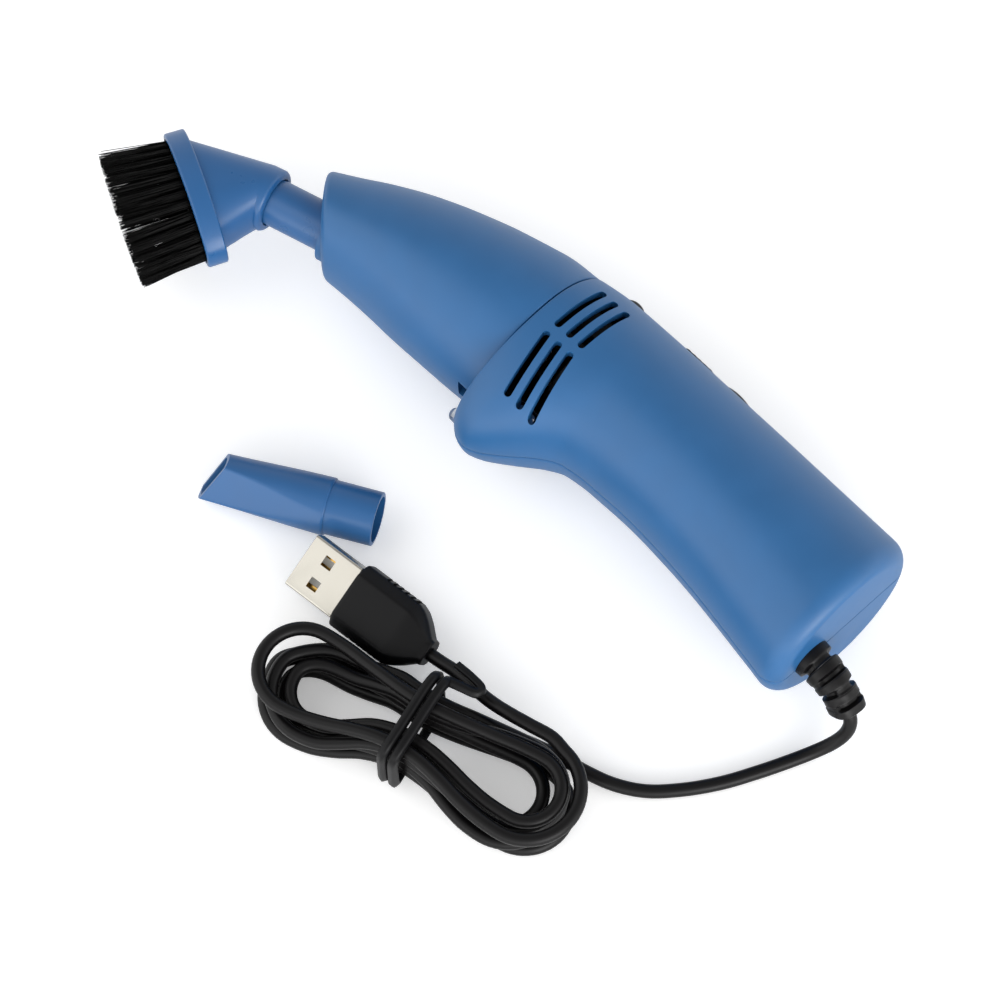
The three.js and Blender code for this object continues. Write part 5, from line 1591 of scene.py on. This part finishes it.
@dataclass
class Cord:
    """The cord from the gland to the plug: a free lead, a hank and the wire tie round it."""

    radius: Number = 1.4
    centre: Pair = (22.9, 71)
    half_length: Number = 36
    outer: Number = 11
    pitch: Number = 3.7
    layer_step: Number = 3.3
    layers: int = 4
    quarters: int = 6
    run_steps: int = 10
    fold_steps: int = 14
    pull: Number = 3.6
    lift: Number = 3.1
    way: Number = 2
    declared_length: Number = 0.98
    step: Number = 1.2
    shorter_left: tuple[Number, ...] = (3.0, 1.8, 5.4, 0.0)
    shorter_right: tuple[Number, ...] = (0.0, 3.8, 1.8, 0.0)
    sway_left: tuple[Number, ...] = (1.2, 0.2, 1.7, 0.3)
    sway_right: tuple[Number, ...] = (0.0, 0.7, -0.5, 0.4)
    lead: list[Triple] = field(
        default_factory=lambda: [
            (-48.46, 26.39, 12.02), (-49.21, 26.81, 10.91), (-49.75, 27.35, 9.45), (-49.85, 28.1, 7.7),
            (-49.4, 29.15, 5.9), (-48.3, 30.6, 4.2), (-46.6, 32.5, 2.8), (-44.4, 35, 1.9), (-41.6, 38.3, 1.5),
            (-38, 42.5, 1.4), (-33, 47.9, 1.4), (-27, 53, 1.4), (-21, 56.8, 1.4), (-15, 58.7, 1.4), (-9, 59.2, 1.4),
            (-4.6, 59.1, 1.4),
        ]
    )
    tail: list[Triple] = field(
        default_factory=lambda: [
            (-1.4, 59.6, 11.3), (3.5, 59.5, 11.3), (8, 59.4, 11.2), (12.5, 58.9, 10.6), (16.5, 57.9, 9.8),
            (20, 56.7, 8.8), (23.2, 55.8, 7.9), (25.9, 55.35, 7.1), (28.9, 54.92, 6.8),
        ]
    )

    def hank(self) -> list[Vector]:
        """The hank, four layers of one and a half turns.

        Returns:
            The points of its centreline.
        """
        points = []
        fold = self.half_length - self.outer
        radius, level = self.outer + self.pitch / 4, 0.0
        for q in range(self.layers * self.quarters):
            layer = q // self.quarters
            climbing = q > 0 and q % self.quarters == 0
            step = 0.0 if climbing else (-1 if layer % 2 == 0 else 1) * self.pitch / 4
            steps = self.run_steps if q % 2 == 0 else self.fold_steps
            for k in range(steps):
                share = k / steps
                height = level + (share if climbing else 0)
                points.append(self.hank_point(q % 4, share, radius + step * share, fold, height))
            radius += step
            level += 1 if climbing else 0
        return points

    def between(self, values: Sequence[Number], height: Number) -> Number:
        """A value for a height between two layers."""
        layer = min(int(height), len(values) - 2)
        return lerp(values[layer], values[layer + 1], smoothstep(0, 1, height - layer))

    def hank_point(self, quarter: int, share: Number, reach: Number, fold: Number, height: Number) -> Vector:
        """A point of the hank.

        Args:
            quarter: which run or fold of the turn it is on.
            share: how far along that run or fold.
            reach: its distance from the hank's long axis.
            fold: how far the folds' centres lie from the middle.
            height: its layer, as a number that rises smoothly.

        Returns:
            The point in the desk's frame, in millimetres.
        """
        heading = 1 if quarter < 2 else -1
        bump = 0.0
        far = fold - self.between(self.shorter_left, height)
        near = fold - self.between(self.shorter_right, height)
        if quarter % 2 == 1:
            angle = -math.pi / 2 + math.pi * share
            x = heading * ((far if heading > 0 else near) + reach * math.cos(angle))
            y = heading * reach * math.sin(angle)
        else:
            x = lerp(-near, far, share) if heading > 0 else lerp(far, -near, share)
            y = -heading * reach
            bump = math.cos(math.pi * x / (2 * (far if x > 0 else near))) ** 2
            y += heading * self.pull * bump
        loose = smoothstep(6, 16, abs(x))
        y += loose * self.between(self.sway_left if x > 0 else self.sway_right, height)
        if y < 0:
            below = min(1.0, max(0.0, self.layers - 1 - height))
            y += self.way * smoothstep(5, 20, x) * below * min(1.0, -y / 6)
        z = self.radius + height * self.layer_step + self.lift * bump
        return Vector((self.centre[0] + x, self.centre[1] + y, z))

    def path(self) -> list[Vector]:
        """The whole centreline, in millimetres."""
        points = [Vector(point) for point in self.lead] + self.hank()[1:] + [Vector(point) for point in self.tail]
        return through(points, self.step)

    def build(self, carried: Sequence[Object]) -> None:
        """Args:
            carried: the pieces at its far end; not used.
        """
        line = self.path()
        curve = bpy.data.curves.new("power_cord", "CURVE")
        curve.dimensions = "3D"
        curve.bevel_depth = self.radius * MM
        curve.bevel_resolution = 5
        curve.use_fill_caps = True
        spline = curve.splines.new("POLY")
        spline.points.add(len(line) - 1)
        for point, target in zip(spline.points, line):
            point.co = (*(target * MM), 1.0)
        spline.use_smooth = True
        item = new_object("power_cord", curve)
        dress(item, Slot.RUBBER, Body.HANDLE, ["cord_lead", "cord_hank"])
        length = sum((b - a).length for a, b in zip(line, line[1:])) * MM
        log.info("cord length %.3f m", length)
        self.tie()

    def tie(self) -> None:
        """Builds the wire tie round the hank."""
        height = (self.layers - 1) * self.layer_step + 2 * self.radius + self.lift
        WireTie(self.centre, height).build()


@dataclass
class WireTie:
    """A flat strip with a wire core that winds round the hank."""

    centre: Pair
    height: Number
    turns: Number = 1.62
    first: Number = 0.4
    count: int = 90
    half_width: Number = 10.1
    pitch: Number = 3.9
    under: Number = 1.1
    half_strip: Number = 1.1
    film: Number = 0.62
    core: Number = 0.34
    core_share: Number = 0.45
    free_end: tuple[Triple, ...] = (
        (17.7, 60.9, 16.2), (15.1, 60.4, 15.7), (14.7, 59, 15.2), (17.3, 57.9, 14.9), (21.5, 56.9, 14.6),
    )

    def path(self) -> list[Vector]:
        """The strip's centreline.

        Returns:
            Its points in the desk's frame, in millimetres.
        """
        half = (self.height + 3 * TOUCH_GAP) / 2
        points = []
        for k in range(self.count + 1):
            share = k / self.count
            angle = 2 * math.pi * (self.turns * (share - 1) + self.first)
            y = self.centre[1] - 0.3 + self.half_width * signed_power(math.cos(angle), 1 / 3)
            z = self.under + half + half * signed_power(math.sin(angle), 1 / 3)
            points.append(Vector((self.centre[0] + self.pitch * (0.5 - share), y, z)))
        return through([*points, *(Vector(point) for point in self.free_end)], 0.5)

    def build(self) -> None:
        """Builds the strip along its centreline."""
        line = self.path()
        rings = []
        side = Vector((1, 0, 0))
        for i, point in enumerate(line):
            way = (line[min(i + 1, len(line) - 1)] - line[max(i - 1, 0)]).normalized()
            side = (side - way * side.dot(way)).normalized()
            up = way.cross(side)
            ring = []
            for j in range(16):
                angle = 2 * math.pi * j / 16
                thick = self.film + self.core * math.exp(-((math.cos(angle) / self.core_share) ** 2))
                ring.append(point + side * (self.half_strip * math.cos(angle)) + up * (thick * math.sin(angle)))
            rings.append(ring)
        band = Draft().loft(rings).solid("wire_tie", DESK_FRAME)
        dress(band, Slot.BLACK, Body.HANDLE, ["twist_tie"], 70 * DEGREE)


@dataclass
class Plug:
    """The plug with its ribbed grip and sheet shell."""

    place: Triple = (49.2, 51.7, 6.8)
    roll: Number = -26 * DEGREE
    yaw: Number = -9 * DEGREE
    grip_length: Number = 20.5
    grip_width: Number = 14.4
    grip_height: Number = 8.4
    chamfer: Number = 2.5
    tail: Number = 5.6
    soft: Number = 0.55
    rib_first: Number = 5
    rib_pitch: Number = 1.5
    rib_half: Number = 2.1
    rib_floor: Number = 6.45
    shell_half: Pair = (6, 2.25)
    shell_corner: Number = 0.65
    sheet: Number = 0.3
    window_place: Number = 2.6
    window_half: Number = 1.2
    window_ends: Pair = (5.6, 8.0)

    def __post_init__(self) -> None:
        """Sets up the plug's frame."""
        turn = Matrix.Rotation(self.yaw, 4, "Z") @ Matrix.Rotation(self.roll, 4, "X")
        self.frame = Matrix.Translation(self.place) @ turn

    def grip_ring(self, x: Number, half_width: Number, half_height: Number, chamfer: Number) -> Ring:
        """An eight-sided section with softened corners.

        Args:
            x: its place along the plug.
            half_width: half of its width.
            half_height: half of its height.
            chamfer: what each corner loses along both sides.

        Returns:
            The section's points in the plug's frame.
        """
        w, h, c = half_width, half_height, chamfer
        corners = [(w, h - c), (w - c, h), (-w + c, h), (-w, h - c)]
        corners += [(-w, -h + c), (-w + c, -h), (w - c, -h), (w, -h + c)]
        ring = []
        for i, corner in enumerate(corners):
            here, before, after = Vector(corner), Vector(corners[i - 1]), Vector(corners[(i + 1) % 8])
            start = here + (before - here).normalized() * min(self.soft, (before - here).length * 0.4)
            end = here + (after - here).normalized() * min(self.soft, (after - here).length * 0.4)
            for t in (0, 0.33, 0.67, 1):
                flat = start * (1 - t) ** 2 + here * (2 * t * (1 - t)) + end * t * t
                ring.append(Vector((x, flat.x, flat.y)))
        return ring

    def grip(self) -> Object:
        """Builds the moulded grip with its side ribs.

        Returns:
            The finished piece.
        """
        narrow = 0.42
        taper = [[0.72, 0.93], [0.82, 0.76], [0.92, 0.52], [0.96, 0.43], [1, narrow]]
        table = Profile([[0, 0.99], [0.04, 1], [0.62, 1], *taper], [1, 1])
        rings = []
        places = rounded_start(0, 0.6, 4)
        places += [(along, 0.0) for along in spread_stops(0.7, self.grip_length - 0.5, 40)]
        places += rounded_end(0, self.grip_length, 0.4, 4)
        for along, less in places:
            size = table.at(along / self.grip_length)[0]
            blend = (size - narrow) / 0.58
            width = lerp(self.tail, self.grip_width, blend) / 2 - less
            height = lerp(self.tail, self.grip_height, blend) / 2 - less
            rings.append(self.grip_ring(-along, width, height, self.chamfer * size * 0.9))
        grip = Draft().loft(rings).solid("plug_grip", self.frame)
        for k in range(6):
            x = -self.rib_first - k * self.rib_pitch
            for side in (1, -1):
                low, high = sorted((side * self.rib_floor, side * 9))
                cutter = Draft().block(
                    (x - self.rib_pitch / 2, low, -self.rib_half), (x, high, self.rib_half), 0.18, 2
                )
                combine(grip, cutter.solid("groove", self.frame))
        return dress(grip, Slot.BLACK, Body.HANDLE, ["usb_overmould"])

    def sheet_ring(self, x: Number, less: Number) -> Ring:
        """The sheet shell's section at a place along the plug."""
        outline = rounded_rectangle(self.shell_half[0] - less, self.shell_half[1] - less, self.shell_corner - less, 5)
        return [Vector((x, a, b)) for a, b in outline]

    def shell(self) -> Object:
        """Builds the folded sheet shell with its square windows.

        Returns:
            The finished piece.
        """
        sheet = self.sheet
        stops = ((0.3, 0), (11.9, 0), (12, 0.08), (12, 0.22), (11.9, sheet), (0.8, sheet))
        shell = Draft().loft([self.sheet_ring(x, less) for x, less in stops]).solid("plug_shell", self.frame)
        for side in (1, -1):
            low_y = side * self.window_place - self.window_half
            high_y = side * self.window_place + self.window_half
            for low, high in ((-4, -1), (1, 4)):
                rear, front = self.window_ends
                window = Draft().block((rear, low_y, low), (front, high_y, high), 0.15, 2)
                combine(shell, window.solid("window", self.frame))
        return dress(shell, Slot.NICKEL, Body.HANDLE, ["usb_shell"])

    def build(self) -> list[Object]:
        """Builds the grip and the shell, and lists them with the solids inside them."""
        inside = ["usb_tongue", *(f"usb_contact_{k}" for k in range(1, 5))]
        return [self.grip(), self.shell(), *(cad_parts[name] for name in inside)]


@dataclass
class LooseNozzle:
    """The crevice nozzle that lies beside the cleaner."""

    place: Triple = (53.1, 34.6, 6.0)
    yaw: Number = 14 * DEGREE
    roll: Number = -53 * DEGREE
    length: Number = 37.4
    radius: Number = 6.0
    spigot: Number = 5.65
    spigot_length: Number = 10.0
    wall: Number = 0.9
    tip_long: Number = 5.1
    tip_thin: Number = 2.6
    cut_across: Number = 27 * DEGREE
    cut_thin: Number = 10 * DEGREE
    flat_edge: Number = 0.25
    neck_share: Number = 0.28

    def __post_init__(self) -> None:
        """Sets up the nozzle's frame and reads its table."""
        turn = Matrix.Rotation(self.yaw, 4, "Z") @ Matrix.Rotation(self.roll, 4, "X")
        self.frame = Matrix.Translation(self.place) @ turn
        self.profile = Profile([[0.3, 0], [0.42, 0.12], [0.6, 0.42], [0.8, 0.75], [1, 1]], [self.length, 1])

    def ring(self, x: Number, radius: Number, blend: Number, inset: Number) -> Ring:
        """A circle whose two broad sides are cut flat.

        Args:
            x: its place along the nozzle.
            radius: the circle's radius.
            blend: 0 for a whole circle, 1 for the flat tip.
            inset: how far inside the outer skin it is.

        Returns:
            The section's points in the nozzle's own frame.
        """
        reach = lerp(radius, self.tip_long, blend) - inset
        thin = lerp(radius, self.tip_thin, blend) - inset
        ring = []
        for k in range(144):
            angle = 2 * math.pi * k / 144
            height = reach * math.sin(angle)
            over = max(0.0, abs(height) - thin + self.flat_edge)
            soft = abs(height) - over + self.flat_edge * (1 - math.exp(-over / self.flat_edge))
            ring.append(Vector((x, reach * math.cos(angle), math.copysign(soft, height))))
        return ring

    def skin(self, inset: Number, reach: Number, name: str) -> Object:
        """The outer skin, or the hollow inside it.

        Args:
            inset: how far inside the outer skin it is.
            reach: how far it runs past both ends, 0 for the outer skin.
            name: the object's name.

        Returns:
            The closed skin.
        """
        step, end = self.spigot_length, 0.3
        if reach:
            stops = [(-reach, self.spigot), (step, self.spigot)]
        else:
            stops = [(x, self.spigot - less) for x, less in rounded_start(0, end, 3)]
            stops += [(step, self.spigot), (step, self.radius - end)]
            stops += [(step + 0.1, self.radius - 0.1), (step + end, self.radius)]
        rings = [self.ring(x, radius, 0, inset) for x, radius in stops]
        for x in spread_stops(self.length * self.neck_share + 0.2, self.length, 40):
            rings.append(self.ring(x, self.radius, self.profile.at(x)[0], inset))
        if reach:
            rings.append(self.ring(self.length + reach, self.radius, 1, inset))
        return Draft().loft(rings).solid(name, self.frame)

    def build(self) -> None:
        """Builds the nozzle, hollow and with its slanted tip."""
        nozzle = self.skin(0, 0, "crevice_tool")
        cutter = Draft().block((0, -30, -30), (40, 30, 30), 0.01, 1)
        pivot = self.length - math.tan(self.cut_across) * self.tip_long
        turn = Matrix.Rotation(-self.cut_across, 4, "Z") @ Matrix.Rotation(-self.cut_thin, 4, "Y")
        place = self.frame @ Matrix.Translation((pivot, 0, 0)) @ turn
        combine(nozzle, cutter.solid("slant", place))
        combine(nozzle, self.skin(self.wall, OVERRUN, "bore"))
        dress(nozzle, Slot.GLOSS_BLUE, Body.LOOSE_NOZZLE, ["crevice_nozzle"], 30 * DEGREE)


@dataclass
class Filter:
    """The domed cloth in front of the filter frame."""

    cover: Cover
    start: Number = 5.9
    depth: Number = 10
    inset: Number = 4.4
    narrow: Number = 12
    folds: int = 14
    fold: Number = 0.16

    def build(self) -> None:
        """Builds the cloth with a soft crown and faint cloth folds."""
        dome = Profile([[0, 0, 0], [0.4, 0.4, 0.06], [0.72, 0.72, 0.2], [0.92, 0.92, 0.42], [1, 1, 0.7]], [1, 1, 1])
        rings = []
        for k in range(25):
            rise, narrow = dome.at(k / 24)
            less = self.inset + narrow * self.narrow
            ring = self.cover.ring(0, less, self.start + rise * self.depth, 1, 96)
            centre = sum(ring, Vector()) / len(ring)
            fold = self.fold * smoothstep(0.05, 0.3, rise)
            for j, point in enumerate(ring):
                wave = math.sin(self.folds * 2 * math.pi * j / 96) * fold
                ring[j] = point - (point - centre).normalized() * abs(wave)
            rings.append(ring)
        cloth = Draft().loft(rings).solid("dust_cloth", NOZZLE_FRAME)
        dress(cloth, Slot.CLOTH, Body.FILTER, ["filter_cloth"], 60 * DEGREE)


@dataclass
class KeptSolids:
    """Finishes for the solids that stay as they are."""

    slots: dict[str, Slot] = field(
        default_factory=lambda: {
            "filter_seal": Slot.RUBBER, "filter_frame": Slot.WHITE, "fan_plate": Slot.BLACK,
            "fan_impeller": Slot.BLACK, "motor_can": Slot.STEEL, "motor_end_cap": Slot.BLACK,
            "motor_bush": Slot.BRASS, "motor_shaft": Slot.STEEL, "circuit_board": Slot.BOARD,
            "capacitor": Slot.BLACK, "motor_lead_red": Slot.RED_WIRE, "motor_lead_black": Slot.RUBBER,
            "led_lead": Slot.RED_WIRE, "switch_body": Slot.BLACK,
            "screw_middle": Slot.STEEL, "screw_rear_top": Slot.STEEL, "screw_rear_belly": Slot.STEEL,
            "usb_tongue": Slot.WHITE, "usb_contact_1": Slot.BRASS, "usb_contact_2": Slot.BRASS,
            "usb_contact_3": Slot.BRASS, "usb_contact_4": Slot.BRASS,
        }
    )

    def build(self) -> None:
        """Puts each finish in the object's own material slot."""
        for name, slot in self.slots.items():
            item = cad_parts[name]
            for place in item.material_slots:
                place.link = "OBJECT"
                place.material = FINISHES[slot].make()
        log.info("%d solids kept", len(self.slots))


@dataclass
class Studio:
    """Camera, floor, backdrop and lamps."""

    target: Triple = (35.38, 16.17, 0.0)
    azimuth: Number = 210 * DEGREE
    elevation: Number = 65 * DEGREE
    distance: Number = 650
    lens: Number = 114.66
    floor_lift: Number = 0.28

    def direction(self, azimuth: Number, elevation: Number) -> Vector:
        """Unit vector from the target to a place at those angles."""
        flat = math.cos(elevation)
        return Vector((math.sin(azimuth) * flat, -math.cos(azimuth) * flat, math.sin(elevation)))

    def aim(self, item: Object, place: Vector, back: Vector) -> None:
        """Places an item and turns it so that it looks against a direction."""
        item.location = place
        item.rotation_euler = back.to_track_quat("Z", "Y").to_euler()

    def camera(self) -> None:
        """Places the camera at the photograph's angle."""
        data = bpy.data.cameras.new("photo_camera")
        data.lens = self.lens
        data.sensor_width = 36
        data.clip_start = 0.01
        item = new_object("photo_camera", data)
        back = self.direction(self.azimuth, self.elevation)
        self.aim(item, (Vector(self.target) + back * self.distance) * MM, back)
        bpy.context.scene.camera = item

    def lamp(self, name: str, azimuth: Number, elevation: Number, away: Number, size: Number, power: Number) -> None:
        """Places a soft square lamp that points at the target.

        Args:
            name: the lamp's name.
            azimuth: where it stands round the target, in degrees.
            elevation: how high it stands, in degrees.
            away: its distance in metres.
            size: its width in metres.
            power: its power in watts.
        """
        data = bpy.data.lights.new(name, "AREA")
        data.shape = "SQUARE"
        data.size = size
        data.energy = power
        back = self.direction(azimuth * DEGREE, elevation * DEGREE)
        self.aim(new_object(name, data), Vector(self.target) * MM + back * away, back)

    def backdrop(self) -> None:
        """A white world for the camera, whose light is strong near the horizon and weak overhead."""
        world = bpy.data.worlds.new("studio")
        world.use_nodes = True
        tree = world.node_tree
        tree.nodes.clear()
        seen = add_node(tree, "ShaderNodeLightPath").outputs["Is Camera Ray"]
        way = add_node(tree, "ShaderNodeTexCoord").outputs["Generated"]
        near = self.direction(self.azimuth, 0)
        facing = add_node(
            tree, "ShaderNodeVectorMath", {0: way, 1: tuple(near)}, operation="DOT_PRODUCT"
        ).outputs["Value"]
        side = add_node(
            tree, "ShaderNodeMapRange", {"Value": facing, "From Min": -1.0, "To Min": 0.6, "To Max": 1.5}
        ).outputs["Result"]
        up = add_node(tree, "ShaderNodeSeparateXYZ", {"Vector": way}).outputs["Z"]
        high = add_node(tree, "ShaderNodeMath", {0: up, 1: 0.75}, operation="POWER", use_clamp=True).outputs["Value"]
        shed = add_node(tree, "ShaderNodeMapRange", {"Value": high, "To Min": 2.2, "To Max": 0.4}).outputs["Result"]
        light = add_node(tree, "ShaderNodeMath", {0: shed, 1: side}, operation="MULTIPLY").outputs["Value"]
        glow = add_node(tree, "ShaderNodeMapRange", {"Value": seen, "To Min": light, "To Max": 1.0}).outputs["Result"]
        shine = add_node(tree, "ShaderNodeBackground", {"Color": (1.0, 1.0, 1.0, 1.0), "Strength": glow})
        add_node(tree, "ShaderNodeOutputWorld", {"Surface": shine.outputs["Background"]})
        bpy.context.scene.world = world

    def floor(self) -> None:
        """A wide white floor that keeps the soft shadow."""
        reach, drop = 1500, -0.02
        corners = ((-reach, -reach), (reach, -reach), (reach, reach), (-reach, reach))
        sheet = Draft()
        sheet.points = [Vector((x, y, drop)) for x, y in corners]
        sheet.faces = [(0, 1, 2, 3)]
        item = sheet.solid("floor", DESK_FRAME)
        material = bpy.data.materials.new("mat_floor")
        material.use_nodes = True
        tree = material.node_tree
        tree.nodes.clear()
        shader = add_node(
            tree,
            "ShaderNodeBsdfPrincipled",
            {"Base Color": linear("#F8F8F8"), "Roughness": 0.9, "Specular IOR Level": 0.1},
        )
        seen = add_node(tree, "ShaderNodeLightPath").outputs["Is Camera Ray"]
        lift = add_node(tree, "ShaderNodeMapRange", {"Value": seen, "To Min": 0.0, "To Max": self.floor_lift})
        glow = add_node(
            tree, "ShaderNodeEmission", {"Color": (1.0, 1.0, 1.0, 1.0), "Strength": lift.outputs["Result"]}
        )
        both = add_node(tree, "ShaderNodeAddShader", {0: shader.outputs["BSDF"], 1: glow.outputs["Emission"]})
        add_node(tree, "ShaderNodeOutputMaterial", {"Surface": both.outputs["Shader"]})
        item.data.materials.append(material)

    def build(self) -> None:
        """Builds the whole studio."""
        self.camera()
        self.backdrop()
        self.floor()
        self.lamp("lamp_over", 120, 50, 0.9, 0.6, 1.0)
        self.lamp("lamp_near", 240, 18, 0.9, 0.5, 3.0)
        bpy.context.scene.view_settings.view_transform = "Standard"


def write_sizes() -> None:
    """Defines a helper that turns a box's corners into plain numbers; nothing is written."""
    def rows(box: object) -> list[list[float]]:
        """A box's corners as plain numbers."""
        return [[float(value) for value in corner] for corner in box]


def main() -> None:
    """Builds the scene, camera and cords first."""
    logging.basicConfig(level=logging.INFO, format="%(message)s")
    Studio().build()
    Cord().build(Plug().build())
    cover = Cover()
    Housing().build(cover)
    cover.build()
    Tube().build()
    Brush().build()
    SwitchPlate().build()
    Lamp().build()
    HumpScrew().build()
    Gland().build()
    LooseNozzle().build()
    Filter(cover).build()
    KeptSolids().build()
    write_sizes()


if __name__ == "__main__":
    main()
